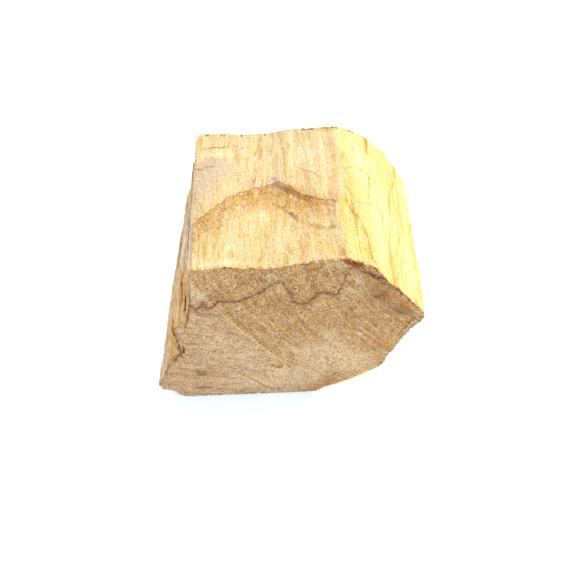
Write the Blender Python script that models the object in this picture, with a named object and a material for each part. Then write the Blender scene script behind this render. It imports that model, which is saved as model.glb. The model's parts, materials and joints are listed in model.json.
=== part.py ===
"""A raw chunk of palo santo wood, sawn square at both ends and split along the grain on every side.

The grain runs along Y. The front sawn end faces -Y, +Z is up, and the chunk rests on its flat foot at Z = 0.
The cross-section is given at three places along the grain, and the split faces are drawn between them.
Splinters and torn gaps are laid along those faces, and clefts and chips are cut last.
"""

import math

import bmesh
import bpy
from mathutils import Matrix, Vector, noise

MM = 0.001

# Driving dimensions, in millimetres
GRAIN_LENGTH = 44.3
MID_SECTION = 12.0
COLUMN_PITCH = 1.9
ROW_PITCH = 2.9
CAP_GRID = 3.8

# How far each kind of face swells and dips, in millimetres
ROUGHNESS = {
    "top": 0.22,
    "slope": 0.32,
    "undercut": 0.45,
    "belly": 0.40,
    "foot": 0.0,
    "split": 0.50,
}
# Split wood comes away in layers, so a rough face rises in steps of this height
LAYER_STEP = {"undercut": 0.35, "belly": 0.30, "split": 0.45}

# The cross-section, going round clockwise as seen from the front: face, then X and Z at the front end,
# at the middle section and at the back end. None takes the straight line between front and back.
SECTION = (
    ("top", (-9.9, 48.2), None, (-10.5, 48.6)),
    ("top", (-5.4, 48.5), None, (-5.8, 48.9)),
    ("top", (-1.0, 48.3), (-0.5, 48.7), (0.9, 48.4)),
    ("top", (5.0, 48.0), (5.2, 48.6), (6.5, 48.6)),
    ("top", (10.0, 48.6), None, (11.4, 49.5)),
    ("top", (17.0, 49.9), None, (17.5, 49.9)),
    ("slope", (21.8, 50.4), (21.6, 50.4), (22.6, 50.1)),
    ("slope", (24.6, 48.7), (25.4, 48.9), (26.4, 49.0)),
    ("slope", (27.4, 47.0), (28.6, 47.0), (31.4, 46.4)),
    ("slope", (29.8, 44.2), (31.4, 44.2), (35.2, 42.4)),
    ("slope", (32.2, 41.0), (33.6, 41.0), (37.2, 39.8)),
    ("slope", (36.0, 36.6), (37.2, 36.8), (39.8, 36.2)),
    ("slope", (39.8, 31.6), (40.9, 32.0), (42.2, 32.4)),
    ("undercut", (40.4, 30.3), (41.2, 30.4), (42.3, 30.6)),
    ("undercut", (39.9, 28.3), (40.8, 28.6), (41.8, 29.2)),
    ("undercut", (38.6, 26.6), (39.6, 26.6), (40.6, 27.0)),
    ("undercut", (37.4, 24.1), (38.4, 24.0), (39.2, 24.0)),
    ("undercut", (36.1, 21.2), (37.1, 20.8), (37.9, 20.5)),
    ("undercut", (34.3, 16.4), (35.2, 16.0), (36.1, 15.6)),
    ("belly", (32.7, 9.9), (33.3, 9.5), (33.8, 9.3)),
    ("belly", (26.4, 3.8), (27.2, 3.8), (27.8, 4.6)),
    ("foot", (17.2, 0.1), (18.0, 0.2), (18.6, 0.6)),
    ("foot", (12.9, 0.0), (13.6, 0.0), (14.2, 0.0)),
    ("foot", (-8.7, 0.0), None, (-8.0, 0.0)),
    ("foot", (-16.2, 0.0), None, (-14.6, 0.0)),
    ("belly", (-18.9, 1.6), None, (-17.4, 1.5)),
    ("split", (-21.6, 3.6), (-21.6, 3.6), (-20.2, 3.6)),
    ("split", (-22.2, 5.8), (-21.8, 6.2), (-19.9, 6.4)),
    ("split", (-20.5, 10.4), (-20.2, 11.0), (-18.8, 11.0)),
    ("split", (-19.0, 14.2), (-19.0, 15.5), (-17.6, 15.5)),
    ("split", (-18.3, 16.2), (-18.1, 19.0), (-17.1, 18.6)),
    ("split", (-15.2, 16.1), (-17.1, 22.0), (-16.7, 21.2)),
    ("split", (-14.8, 19.8), (-16.2, 24.6), (-16.2, 23.8)),
    ("split", (-15.5, 25.0), (-15.5, 27.2), (-15.8, 26.4)),
    ("split", (-15.8, 29.6), (-14.9, 29.8), (-15.0, 28.6)),
    ("split", (-13.3, 29.8), (-13.2, 31.4), (-13.8, 31.2)),
    ("split", (-12.3, 33.6), (-12.2, 34.4), (-12.7, 34.4)),
    ("split", (-11.3, 37.4), (-11.5, 38.0), (-12.0, 38.0)),
    ("split", (-11.0, 42.0), (-11.0, 42.4), (-11.4, 42.4)),
    ("top", (-10.9, 46.0), (-10.8, 46.6), (-11.0, 46.6)),
)

# The front end was sawn from two sides, and the cuts meet in a low step that fades out along this line (X, Z)
SAW_STEP_FROM = Vector((-10.8, 44.3))
SAW_STEP_TO = Vector((9.7, 12.3))
SAW_STEP_FADE = 8.0
SAW_STEP_HEIGHT = 0.35
SAW_STEP_WIDTH = 0.3
SAW_WAVE = 0.12
SAW_WAVE_PITCH = 6.0

# The back end was sawn down to this line (X, Z), and the strip below it snapped off longer than the rest
SNAP_FROM = Vector((-20.0, 9.5))
SNAP_TO = Vector((30.0, 5.0))
SNAP_LENGTH = 1.1
SNAP_SLOPE = 0.8

# Where the saw broke out, the front edge is chipped back along these faces: how far in, over this depth
CHIPPED_EDGE = {"undercut": 0.4, "belly": 2.2}
CHIP_DEPTH = 0.6

# Splinters that still stand on the split faces. Each is the X and Z of its middle on the front section,
# its first and last Y, its width, and how far it stands out at the first end and at the last.
SPLINTERS = (
    (-11.1, 40.0, 3.0, 43.2, 6.8, 0.7, 0.8),
    (-12.0, 34.6, 12.0, 38.0, 4.6, 0.5, 0.7),
    (-11.7, 36.0, 1.2, 19.0, 2.4, 0.9, 0.5),
    (-15.5, 27.4, 0.9, 30.0, 3.4, 0.5, 0.7),
    (-14.8, 21.0, 2.6, 35.0, 8.0, 1.7, 0.5),
    (-16.8, 16.1, 9.0, 41.0, 4.6, 0.4, 0.7),
    (-19.6, 12.6, 7.0, 36.0, 3.6, 0.4, 0.6),
    (-21.4, 8.0, 14.0, 42.6, 4.2, 0.3, 0.4),
    (-20.9, 9.4, 0.8, 16.0, 2.6, 0.5, 0.3),
    (38.3, 28.7, 5.0, 40.0, 3.0, 0.5, 0.8),
    (35.9, 23.4, 3.0, 31.0, 4.0, 0.7, 0.5),
    (33.2, 14.2, 10.0, 43.0, 4.4, 0.5, 0.9),
    (29.0, 9.0, 8.0, 40.0, 5.0, 0.4, 0.8),
)

# Gaps where a splinter tore away, given in the same way, with depths in place of heights
TORN_GAPS = (
    (-11.0, 44.4, 10.0, 28.0, 2.4, 0.8, 0.8),
    (-12.7, 32.0, 22.0, 42.9, 3.0, 0.6, 0.9),
    (-15.2, 24.6, 18.0, 42.8, 3.0, 0.5, 0.8),
    (-22.0, 5.0, 18.0, 36.0, 2.4, 0.5, 0.6),
    (37.0, 26.8, 1.0, 24.0, 2.2, 0.7, 0.4),
    (34.8, 19.4, 14.0, 43.4, 3.2, 0.6, 1.0),
    (21.4, 4.0, 6.0, 30.0, 5.0, 0.5, 0.7),
    (30.8, 43.0, 27.0, 43.4, 6.0, 0.3, 0.6),
    (23.6, 49.3, 8.0, 19.5, 2.6, 0.3, 0.8),
)
SPLINTER_RING_PITCH = 4.5
SPLINTER_TIP = 7.0
SPLINTER_DRIFT = 0.5
BURIED = 1.0

# Checks and clefts opened by drying and splitting: X, Y, Z, width, length along the grain, depth, lean in degrees
CLEFTS = (
    (-15.1, 0.0, 23.4, 0.8, 13.0, 10.4, -9.0),
    (-13.2, 6.4, 31.2, 0.6, 12.4, 6.4, 4.0),
    (-14.0, 8.0, 32.6, 0.6, 9.0, 4.4, -24.0),
    (-12.2, 17.0, 42.8, 0.8, 14.0, 5.0, 14.0),
    (-17.8, 30.0, 20.6, 0.6, 17.0, 5.4, -24.0),
    (37.1, 0.0, 32.2, 0.35, 12.0, 8.6, 48.0),
    (38.1, 24.0, 22.6, 0.6, 18.0, 5.6, 34.0),
    (-8.7, 44.0, 12.0, 0.8, 12.0, 15.0, 24.0),
    (20.5, 44.0, 30.0, 0.4, 9.0, 18.0, -38.0),
)
LENS_SEGMENTS = 10
LENS_RINGS = 6

# Chips knocked off the edges, as flat scoops: centre, half sizes along X, Y and Z, lean about the grain in degrees
CHIPS = (
    ((13.4, -0.1, 50.0), (0.8, 0.7, 0.9), 0.0),
    ((31.0, 45.0, 47.8), (5.0, 2.4, 1.4), 40.0),
    ((-11.4, 30.0, 49.3), (1.0, 4.2, 1.4), 0.0),
    ((42.6, 27.5, 29.6), (1.2, 4.0, 1.6), 0.0),
    ((5.0, 45.0, 49.6), (5.0, 1.2, 1.0), 0.0),
    ((-11.3, 44.9, 48.4), (1.6, 2.0, 2.4), 0.0),
)

WOOD_COLOUR = (0.62, 0.45, 0.22, 1.0)
WOOD_ROUGHNESS = 0.82


def clear_scene():
    for obj in list(bpy.data.objects):
        bpy.data.objects.remove(obj, do_unlink=True)


def wood_material():
    material = bpy.data.materials.new("raw palo santo")
    material.use_nodes = True
    shader = material.node_tree.nodes["Principled BSDF"]
    shader.inputs["Base Color"].default_value = WOOD_COLOUR
    shader.inputs["Roughness"].default_value = WOOD_ROUGHNESS
    shader.inputs["Metallic"].default_value = 0.0
    return material


def section_corners(y):
    """X and Z of every corner of the cross-section at a place along the grain."""
    corners = []
    for _, front, middle, back in SECTION:
        front, back = Vector(front), Vector(back)
        middle = front.lerp(back, MID_SECTION / GRAIN_LENGTH) if middle is None else Vector(middle)
        if y < MID_SECTION:
            corners.append(front.lerp(middle, y / MID_SECTION))
        else:
            corners.append(middle.lerp(back, (y - MID_SECTION) / (GRAIN_LENGTH - MID_SECTION)))
    return corners


def section_columns():
    """Where the lines that run along the grain stand on the section: corner number, share of the way, and face."""
    corners = section_corners(0.0)
    columns = []
    for index, here in enumerate(corners):
        ahead = corners[(index + 1) % len(corners)]
        pieces = max(1, round((ahead - here).length / COLUMN_PITCH))
        columns += [(index, piece / pieces, SECTION[index][0]) for piece in range(pieces)]
    return columns


def relief(face, distance, y):
    """How far a split face stands out at a place, in millimetres. The fibres make it long along the grain."""
    swell = noise.fractal(Vector((distance * 0.16, y * 0.035, 3.7)), 1.0, 2.0, 3)
    fibre = noise.noise(Vector((distance * 0.62, y * 0.06, 11.3)))
    height = ROUGHNESS[face] * (0.75 * swell + 0.55 * fibre)
    step = LAYER_STEP.get(face)
    if step:
        layers = height / step
        whole = math.floor(layers)
        rise = min(1.0, max(0.0, (layers - whole) * 4.0 - 1.5))
        height = 0.5 * height + 0.5 * step * (whole + rise)
    return height


def section_ring(y):
    """The cross-section at one place along the grain as points, with the relief of its faces."""
    corners = section_corners(y)
    columns = section_columns()
    flat = [corners[i].lerp(corners[(i + 1) % len(corners)], share) for i, share, _ in columns]
    ring = []
    distance = 0.0
    for place, point in enumerate(flat):
        face = columns[place][2]
        before = flat[place - 1]
        after = flat[(place + 1) % len(flat)]
        distance += (point - before).length
        along = (after - before).normalized()
        out = relief(face, distance, y)
        if y == 0.0:
            out -= CHIPPED_EDGE.get(face, 0.0)
        x, z = point + Vector((-along.y, along.x)) * out
        if face == "foot":
            z = max(z, 0.0)
        ring.append(Vector((x, y, z)))
    return ring


def row_places():
    """Y of each ring. The first gap is a narrow one, for the chipped edge."""
    length = GRAIN_LENGTH - CHIP_DEPTH
    count = round(length / ROW_PITCH)
    return [0.0, *(CHIP_DEPTH + length * k / count for k in range(count + 1))]


def loft(rings):
    """A closed mesh through rings of points that lie one behind the other along the grain."""
    mesh = bmesh.new()
    rows = [[mesh.verts.new(point) for point in ring] for ring in rings]
    for near, far in zip(rows, rows[1:]):
        for place in range(len(near)):
            ahead = (place + 1) % len(near)
            mesh.faces.new((near[place], near[ahead], far[ahead], far[place]))
    mesh.faces.new(list(reversed(rows[0])))
    mesh.faces.new(rows[-1])
    bmesh.ops.recalc_face_normals(mesh, faces=mesh.faces)
    return mesh


def line_directions(start, end):
    """The direction along a line on a sawn end, and the one square to it."""
    along = (end - start).normalized()
    return along, Vector((-along.y, along.x))


def strip_planes(start, end, first, last):
    """Two planes beside a line on a sawn end, at these distances from it."""
    _, across = line_directions(start, end)
    normal = Vector((across.x, 0.0, across.y))
    place = Vector((start.x, 0.0, start.y))
    return [(place + normal * first, normal), (place + normal * last, normal)]


def cut_ends(mesh):
    """Divides the two sawn ends by a grid of planes and beside their steps, so that they can be shaped."""
    planes = strip_planes(SAW_STEP_FROM, SAW_STEP_TO, -SAW_STEP_WIDTH / 2, SAW_STEP_WIDTH / 2)
    planes += strip_planes(SNAP_FROM, SNAP_TO, 0.0, SNAP_SLOPE)
    for axis in (0, 2):
        low = min(v.co[axis] for v in mesh.verts)
        span = max(v.co[axis] for v in mesh.verts) - low
        normal = Vector((float(axis == 0), 0.0, float(axis == 2)))
        count = int(span / CAP_GRID)
        planes += [(normal * (low + span * k / count), normal) for k in range(1, count)]
    for place, normal in planes:
        ends = [f for f in mesh.faces if abs(f.normal.y) > 0.999]
        edges = {e for f in ends for e in f.edges}
        verts = {v for f in ends for v in f.verts}
        bmesh.ops.bisect_plane(mesh, geom=[*ends, *edges, *verts], dist=1e-4, plane_co=place, plane_no=normal)
        mesh.normal_update()


def front_cut(x, z):
    """How far the front sawn face lies behind Y = 0, in millimetres."""
    along, across = line_directions(SAW_STEP_FROM, SAW_STEP_TO)
    offset = Vector((x, z)) - SAW_STEP_FROM
    share = min(1.0, max(0.0, offset.dot(across) / SAW_STEP_WIDTH + 0.5))
    left = (SAW_STEP_TO - SAW_STEP_FROM).length - offset.dot(along)
    fade = min(1.0, max(0.0, left / SAW_STEP_FADE + 1.0))
    wave = noise.noise(Vector((x, z, 0.0)) / SAW_WAVE_PITCH)
    return SAW_STEP_HEIGHT * share * fade + SAW_WAVE * (wave + 1.0)


def back_cut(x, z):
    """How far the back end lies in front of its full length. The snapped strip stands out behind the sawn face."""
    _, across = line_directions(SNAP_FROM, SNAP_TO)
    above = (Vector((x, z)) - SNAP_FROM).dot(across)
    strip = min(1.0, max(0.0, 1.0 - above / SNAP_SLOPE))
    torn = 0.4 * noise.noise(Vector((x * 0.5, z * 0.3, 5.0)))
    wave = noise.noise(Vector((x, z, 40.0)) / SAW_WAVE_PITCH)
    return SAW_WAVE * (wave + 1.0) * (1.0 - strip) - (SNAP_LENGTH + torn) * strip


def block_mesh():
    """The chunk without its splinters, as one closed mesh in millimetres."""
    mesh = loft([section_ring(y) for y in row_places()])
    cut_ends(mesh)
    for vertex in mesh.verts:
        if vertex.co.y < 1e-3:
            vertex.co.y += front_cut(vertex.co.x, vertex.co.z)
        elif vertex.co.y > GRAIN_LENGTH - 1e-3:
            vertex.co.y -= back_cut(vertex.co.x, vertex.co.z)
    bmesh.ops.triangulate(mesh, faces=mesh.faces, quad_method="BEAUTY", ngon_method="BEAUTY")
    return mesh


def nearest_on_section(x, z):
    """The corner number and the share of the way to the next corner that lie nearest to a point at the front."""
    corners = section_corners(0.0)
    best = None
    for index, here in enumerate(corners):
        side = corners[(index + 1) % len(corners)] - here
        share = min(1.0, max(0.0, (Vector((x, z)) - here).dot(side) / side.length_squared))
        gap = (here + side * share - Vector((x, z))).length
        if best is None or gap < best[0]:
            best = (gap, index, share)
    return best[1], best[2]


def splinter_rings(values, outwards):
    """Rings of six points for a splinter that follows its face. A torn gap is one that points inwards."""
    x, z, first, last, width, rise_first, rise_last = values
    index, share = nearest_on_section(x, z)
    count = max(4, round((last - first) / SPLINTER_RING_PITCH))
    rings = []
    for k in range(count + 1):
        t = k / count
        y = first + (last - first) * t
        corners = section_corners(y)
        before = corners[index - 1]
        here = corners[index]
        ahead = corners[(index + 1) % len(corners)]
        beyond = corners[(index + 2) % len(corners)]
        along = ((ahead - here).normalized() + (beyond - before).normalized()).normalized()
        out = Vector((-along.y, along.x))
        tip = min(1.0, 0.12 + min(t, 1.0 - t) * (last - first) / SPLINTER_TIP)
        half = width / 2 * tip * (1.0 + 0.25 * noise.noise(Vector((x, z, y * 0.2))))
        rise = (rise_first + (rise_last - rise_first) * t) * (0.45 + 0.55 * tip)
        drift = SPLINTER_DRIFT * noise.noise(Vector((z, x, y * 0.08)))
        middle = here.lerp(ahead, share) + along * drift
        profile = (
            (-half, -BURIED),
            (-half * 0.96, rise * 0.35),
            (-half * 0.62, rise),
            (half * 0.30, rise * 0.9),
            (half, rise * 0.1),
            (half, -BURIED),
        )
        ring = []
        for across, height in profile:
            px, pz = middle + along * across + out * height * (1.0 if outwards else -1.0)
            ring.append(Vector((px, y, pz)))
        rings.append(ring)
    return rings


def mesh_object(name, mesh, collection):
    """Turns a bmesh in millimetres into an object in metres."""
    bmesh.ops.scale(mesh, vec=(MM, MM, MM), verts=mesh.verts)
    data = bpy.data.meshes.new(name)
    mesh.to_mesh(data)
    mesh.free()
    obj = bpy.data.objects.new(name, data)
    collection.objects.link(obj)
    return obj


def splinter(values, outwards, name, collection):
    mesh = loft(splinter_rings(values, outwards))
    bmesh.ops.triangulate(mesh, faces=mesh.faces)
    return mesh_object(name, mesh, collection)


def lens(centre, half_sizes, lean, name, collection):
    """A lens turned about the grain: a thin one cuts a cleft, and a flat one the scoop left by a chip."""
    mesh = bmesh.new()
    bmesh.ops.create_uvsphere(mesh, u_segments=LENS_SEGMENTS, v_segments=LENS_RINGS, radius=1.0)
    size = Matrix.Diagonal((*half_sizes, 1.0))
    turn = Matrix.Rotation(math.radians(lean), 4, "Y")
    bmesh.ops.transform(mesh, matrix=Matrix.Translation(centre) @ turn @ size, verts=mesh.verts)
    return mesh_object(name, mesh, collection)


def add_boolean(obj, tool, operation):
    modifier = obj.modifiers.new(f"{operation.lower()} {tool.name}", "BOOLEAN")
    modifier.operation = operation
    modifier.object = tool
    modifier.solver = "EXACT"
    tool.hide_render = True
    tool.display_type = "WIRE"


def bake_modifiers(obj):
    """Replaces the object's mesh with what its modifiers make of it."""
    graph = bpy.context.evaluated_depsgraph_get()
    baked = bpy.data.meshes.new_from_object(obj.evaluated_get(graph))
    obj.modifiers.clear()
    obj.data = baked


def centre_on_foot(obj):
    """Puts the middle of the chunk's footprint at the origin, with its foot on Z = 0."""
    points = [vertex.co for vertex in obj.data.vertices]
    lows = Vector([min(p[axis] for p in points) for axis in range(3)])
    highs = Vector([max(p[axis] for p in points) for axis in range(3)])
    middle = (lows + highs) / 2
    obj.data.transform(Matrix.Translation((-middle.x, -middle.y, -lows.z)))


def main():
    clear_scene()
    wood = bpy.data.collections.new("palo santo chunk")
    tools = bpy.data.collections.new("splinters and cutters")
    bpy.context.scene.collection.children.link(wood)
    bpy.context.scene.collection.children.link(tools)

    chunk = mesh_object("wood_chunk", block_mesh(), wood)
    for number, values in enumerate(SPLINTERS):
        add_boolean(chunk, splinter(values, True, f"splinter_{number}", tools), "UNION")
    for number, values in enumerate(TORN_GAPS):
        add_boolean(chunk, splinter(values, False, f"torn_gap_{number}", tools), "DIFFERENCE")
    for number, (x, y, z, width, length, depth, lean) in enumerate(CLEFTS):
        half_sizes = (width / 2, length / 2, depth / 2)
        add_boolean(chunk, lens((x, y, z), half_sizes, lean, f"cleft_{number}", tools), "DIFFERENCE")
    for number, (centre, half_sizes, lean) in enumerate(CHIPS):
        add_boolean(chunk, lens(centre, half_sizes, lean, f"chip_{number}", tools), "DIFFERENCE")
    bpy.context.view_layer.update()
    bake_modifiers(chunk)
    centre_on_foot(chunk)
    chunk.data.materials.clear()
    chunk.data.materials.append(wood_material())


main()
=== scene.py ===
# %% [markdown]
# # A raw chunk of palo santo
#
# Palo santo is a pale, oily, scented wood. This chunk was sawn across the grain at both ends and split
# along the grain on every other side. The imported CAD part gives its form: the sawn ends, the split faces,
# the splinters and the clefts. What is added here is what the eye finds on coming closer: fibres, saw
# marks, pores, stains, a dark zone line left by a fungus, and the torn fringe that a saw leaves along an
# edge.
#
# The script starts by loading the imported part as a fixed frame. Everything below is fitted to it.

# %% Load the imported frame
import json
import math
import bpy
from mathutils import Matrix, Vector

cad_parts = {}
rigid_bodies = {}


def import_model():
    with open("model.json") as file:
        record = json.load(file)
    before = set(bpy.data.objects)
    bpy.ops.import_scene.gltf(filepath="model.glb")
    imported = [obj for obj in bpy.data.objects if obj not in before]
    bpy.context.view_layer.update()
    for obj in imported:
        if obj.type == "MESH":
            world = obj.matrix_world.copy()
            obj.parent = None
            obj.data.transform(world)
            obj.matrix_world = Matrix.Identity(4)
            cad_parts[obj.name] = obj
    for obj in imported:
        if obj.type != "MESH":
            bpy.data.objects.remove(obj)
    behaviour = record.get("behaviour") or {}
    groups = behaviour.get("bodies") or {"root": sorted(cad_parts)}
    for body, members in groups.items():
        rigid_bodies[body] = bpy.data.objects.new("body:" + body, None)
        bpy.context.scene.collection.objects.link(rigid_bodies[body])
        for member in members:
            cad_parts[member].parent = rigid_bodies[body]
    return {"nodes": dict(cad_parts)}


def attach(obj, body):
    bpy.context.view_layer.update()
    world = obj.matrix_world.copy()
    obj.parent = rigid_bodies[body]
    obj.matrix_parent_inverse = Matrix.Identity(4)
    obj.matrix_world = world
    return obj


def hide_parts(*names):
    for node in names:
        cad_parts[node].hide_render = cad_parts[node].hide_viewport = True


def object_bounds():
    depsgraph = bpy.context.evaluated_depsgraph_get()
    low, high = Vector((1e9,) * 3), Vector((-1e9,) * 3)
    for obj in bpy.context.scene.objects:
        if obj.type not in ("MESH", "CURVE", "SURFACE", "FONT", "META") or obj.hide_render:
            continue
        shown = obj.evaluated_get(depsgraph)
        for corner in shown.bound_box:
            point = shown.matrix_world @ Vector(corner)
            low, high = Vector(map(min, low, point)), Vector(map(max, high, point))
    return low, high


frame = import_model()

from types import SimpleNamespace

import bpy
import numpy as np
from mathutils import Vector, noise
from mathutils.bvhtree import BVHTree
from mathutils.kdtree import KDTree

CAD_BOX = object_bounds()
print("CAD box in mm:", [[round(v * 1000, 1) for v in corner] for corner in CAD_BOX])

# %% [markdown]
# ## One frame for measuring
#
# Places on the wood are easiest to give where they were measured: X across the front sawn end, Y along the
# grain into the wood, and Z up from the floor, all in millimetres. The part's own origin lies under the
# middle of the chunk instead, so one constant shift joins the two. Arrays of all points at once keep the
# work fast.

# %% Points, normals and smooth steps
MM = 0.001
MEASURING_ZERO = np.array((-9.899, -22.854, 0.0))
GRAIN_LENGTH = 44.3


def read_points(mesh):
    """All vertices, in millimetres in the measuring frame."""
    flat = np.empty(len(mesh.vertices) * 3)
    mesh.vertices.foreach_get("co", flat)
    return flat.reshape(-1, 3) / MM - MEASURING_ZERO


def write_points(mesh, points):
    """Moves all vertices, and keeps them inside the CAD part's box."""
    low, high = (np.array(corner) for corner in CAD_BOX)
    mesh.vertices.foreach_set("co", np.clip((points + MEASURING_ZERO) * MM, low, high).ravel())
    mesh.update()


def read_normals(mesh):
    """The normals of all vertices."""
    flat = np.empty(len(mesh.vertices) * 3)
    mesh.vertex_normals.foreach_get("vector", flat)
    return flat.reshape(-1, 3)


def ease(low, high, value):
    """0 below low, 1 above high, and a smooth step between. With low above high it falls instead."""
    share = np.clip((value - low) / (high - low), 0.0, 1.0)
    return share * share * (3.0 - 2.0 * share)


def lumps(points, size, seed):
    """Smooth noise from about -1 to 1 at every point, with lumps of this size in mm along X, Y and Z."""
    return np.array([noise.noise(p) for p in (points / np.array(size) + seed).tolist()])


print("the grain is", GRAIN_LENGTH, "mm long, from the front end to the back")

# %% [markdown]
# ## The wood, on an even mesh
#
# The chunk is one solid piece, so it is one mesh. The CAD node has the right form but too few points to
# carry fibres, and its mesh may not be changed. So a copy is made, its doubled points are merged, and a
# voxel remesh gives it small, even faces. A finer mesh is made than is kept: it is thinned again once the
# relief is in it, and the points then stay where the form needs them.

# %% Copy the CAD node and remesh it
VOXEL = 0.26
DOUBLES = 0.001

node = frame["nodes"]["wood_chunk"]
bpy.ops.object.select_all(action="DESELECT")
node.select_set(True)
bpy.context.view_layer.objects.active = node
bpy.ops.object.duplicate()
wood = bpy.context.view_layer.objects.active
wood.name = "split_wood"
bpy.ops.object.parent_clear(type="CLEAR_KEEP_TRANSFORM")
for key in list(wood.keys()):
    del wood[key]
wood.data.materials.clear()
for name in [a.name for a in wood.data.attributes if a.name.startswith("custom_normal")]:
    wood.data.attributes.remove(wood.data.attributes[name])

bpy.ops.object.mode_set(mode="EDIT")
bpy.ops.mesh.select_all(action="SELECT")
bpy.ops.mesh.remove_doubles(threshold=DOUBLES * MM)
bpy.ops.object.mode_set(mode="OBJECT")

remesh = wood.modifiers.new("even faces", "REMESH")
remesh.mode = "VOXEL"
remesh.voxel_size = VOXEL * MM
bpy.ops.object.modifier_apply(modifier=remesh.name)
print("remeshed to", len(wood.data.polygons), "faces")

# %% [markdown]
# ## Which face is which
#
# Each kind of face gets a weight from 0 to 1 at every point, so that relief and colour can blend where two
# faces meet. The split faces are told apart by their place, which stays right when fibres turn the normals.
# The sawn ends are what lies close to either end, and either faces along the grain or lies well inside the
# outline. The outline is a thin slice through the chunk just behind each end. A pair of numbers below says
# where a weight starts to rise, and where it is full.


# %% Outline of the ends
FRONT_FACE = 0.6
BACK_FACE = 43.9
SLICE_DEPTH = 1.9
HALF_SLICE = 0.2
END_REACH = 11.0
FARTHEST = 9.0


def outline_distance(points, slice_y):
    """Distance in mm to the outline of an end, seen along the grain, for the points near that end."""
    from_slice = np.abs(points[:, 1] - slice_y)
    ring = points[from_slice < HALF_SLICE]
    tree = KDTree(len(ring))
    for place, (x, _, z) in enumerate(ring):
        tree.insert((x, 0.0, z), place)
    tree.balance()
    near = from_slice < END_REACH
    distance = np.full(len(points), FARTHEST)
    distance[near] = [min(FARTHEST, tree.find((x, 0.0, z))[2]) for x, _, z in points[near].tolist()]
    return distance


# %% Weights of the faces
FACING_AN_END = (0.45, 0.75)
INSIDE_THE_RIM = (0.9, 1.4)
END_DEPTH = 0.9
DEEPEST_SAW_STEP = 1.0
SAPWOOD_X = (14.0, 17.1, 19.4, 21.6, 26.0, 31.0, 32.0, 32.8)
SAPWOOD_Z = (-0.4, 0.6, 2.0, 3.1, 6.1, 9.5, 10.4, 12.6)
SAPWOOD_SOFT = 0.15
CHIP_DEPTH = 1.4
PAST_THE_FRINGE = 3.0
RIDGE_Y = (0.6, 5.0, 10.5, 17.0, 18.6, 22.7, 29.9, 37.1, 44.3)
RIDGE_X = (21.9, 21.6, 20.6, 20.7, 22.9, 23.1, 23.5, 22.9, 22.6)
RIDGE_SOFT = 0.35
RIGHT_EDGE_Z = 31.2
RIGHT_EDGE_RISE = 0.02
RIGHT_EDGE_SOFT = 0.25
TOP_ABOVE = (46.8, 47.6)
TOP_RIGHT_OF = (-11.0, -10.4)
FOOT_BELOW = (0.9, 0.4)
FRESH_RIGHT_OF = (6.0, 14.0)


def face_weights(points, normals):
    """How far each point belongs to each kind of face, and its distance in mm to the nearer rim."""
    x, y, z = points.T
    from_front = outline_distance(points, FRONT_FACE + SLICE_DEPTH)
    from_back = outline_distance(points, BACK_FACE - SLICE_DEPTH)
    facing = ease(*FACING_AN_END, np.abs(normals[:, 1]))
    chipped = ease(-SAPWOOD_SOFT, SAPWOOD_SOFT, np.interp(x, SAPWOOD_X, SAPWOOD_Z) - z)
    chipped *= (x > SAPWOOD_X[0]) * (x < SAPWOOD_X[-1]) * (y < CHIP_DEPTH)
    well_inside = ease(*INSIDE_THE_RIM, from_front) * (y < DEEPEST_SAW_STEP)
    front = np.maximum(facing * (y < FRONT_FACE + END_DEPTH), well_inside) * (1.0 - chipped)
    back = np.maximum(facing, ease(*INSIDE_THE_RIM, from_back)) * (y > BACK_FACE - END_DEPTH)
    split = 1.0 - front - back

    past_ridge = x - np.interp(y, RIDGE_Y, RIDGE_X)
    right_edge = RIGHT_EDGE_Z + RIGHT_EDGE_RISE * y
    slope = ease(-RIDGE_SOFT, RIDGE_SOFT, past_ridge)
    slope *= ease(-RIGHT_EDGE_SOFT, RIGHT_EDGE_SOFT, z - right_edge) * split
    top = ease(RIDGE_SOFT, -RIDGE_SOFT, past_ridge) * ease(*TOP_ABOVE, z) * ease(*TOP_RIGHT_OF, x) * split
    foot = ease(*FOOT_BELOW, z) * split
    torn = np.clip(split - top - slope - foot, 0.0, 1.0)

    to_front = np.hypot(from_front, np.maximum(0.0, y - FRONT_FACE))
    to_back = np.hypot(from_back, np.maximum(0.0, BACK_FACE - y))
    rim = np.minimum(to_front, to_back) + PAST_THE_FRINGE * chipped
    weights = {"front": front, "back": back, "top": top, "slope": slope, "foot": foot, "torn": torn}
    weights["fresh"] = torn * ease(*FRESH_RIGHT_OF, x)
    weights["chipped"] = chipped * split
    return weights, rim


points = read_points(wood.data)
normals = read_normals(wood.data)
weights, rim = face_weights(points, normals)
print({name: int(w.sum()) for name, w in weights.items()})

# %% [markdown]
# ## Relief of split wood
#
# Wood that is split parts between its fibres, so its relief is long along the grain and narrow across it.
# It also parts in layers: a thin sheet ends in a small step, and the next sheet lies below. Stretched noise
# gives the fibres, and noise that climbs and drops like a saw blade's teeth gives the layers. The left,
# right and under sides were torn hardest, so their relief is the deepest. Depth and pattern change from
# face to face, so the points are moved here by their weights, not by one displacement modifier.

# %% Fibres and layers on the split faces
FIBRE_DEPTH = {"top": 0.07, "slope": 0.08, "torn": 0.24, "foot": 0.04}
LAYER_DEPTH = {"top": 0.08, "slope": 0.20, "torn": 0.42, "foot": 0.03}
LAYER_WIDTH = {"top": 4.0, "slope": 5.0, "torn": 2.4, "foot": 4.0}
BROAD_FIBRE = (1.5, 18.0, 1.5)
FINE_FIBRE = (0.75, 12.0, 0.75)
BROAD_SHARE = 0.55
FINE_SHARE = 0.45
LAYER_DROP = (0.86, 1.0)
LAYER_EDGE = (0.84, 0.92)
LAYER_MIDDLE = 0.46
LAYER_STRETCH = 7.0
LAYERS_PER_HILL = 2.6
FLAKE_STRETCH = 2.4
FLAKES_PER_HILL = 0.5


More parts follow.
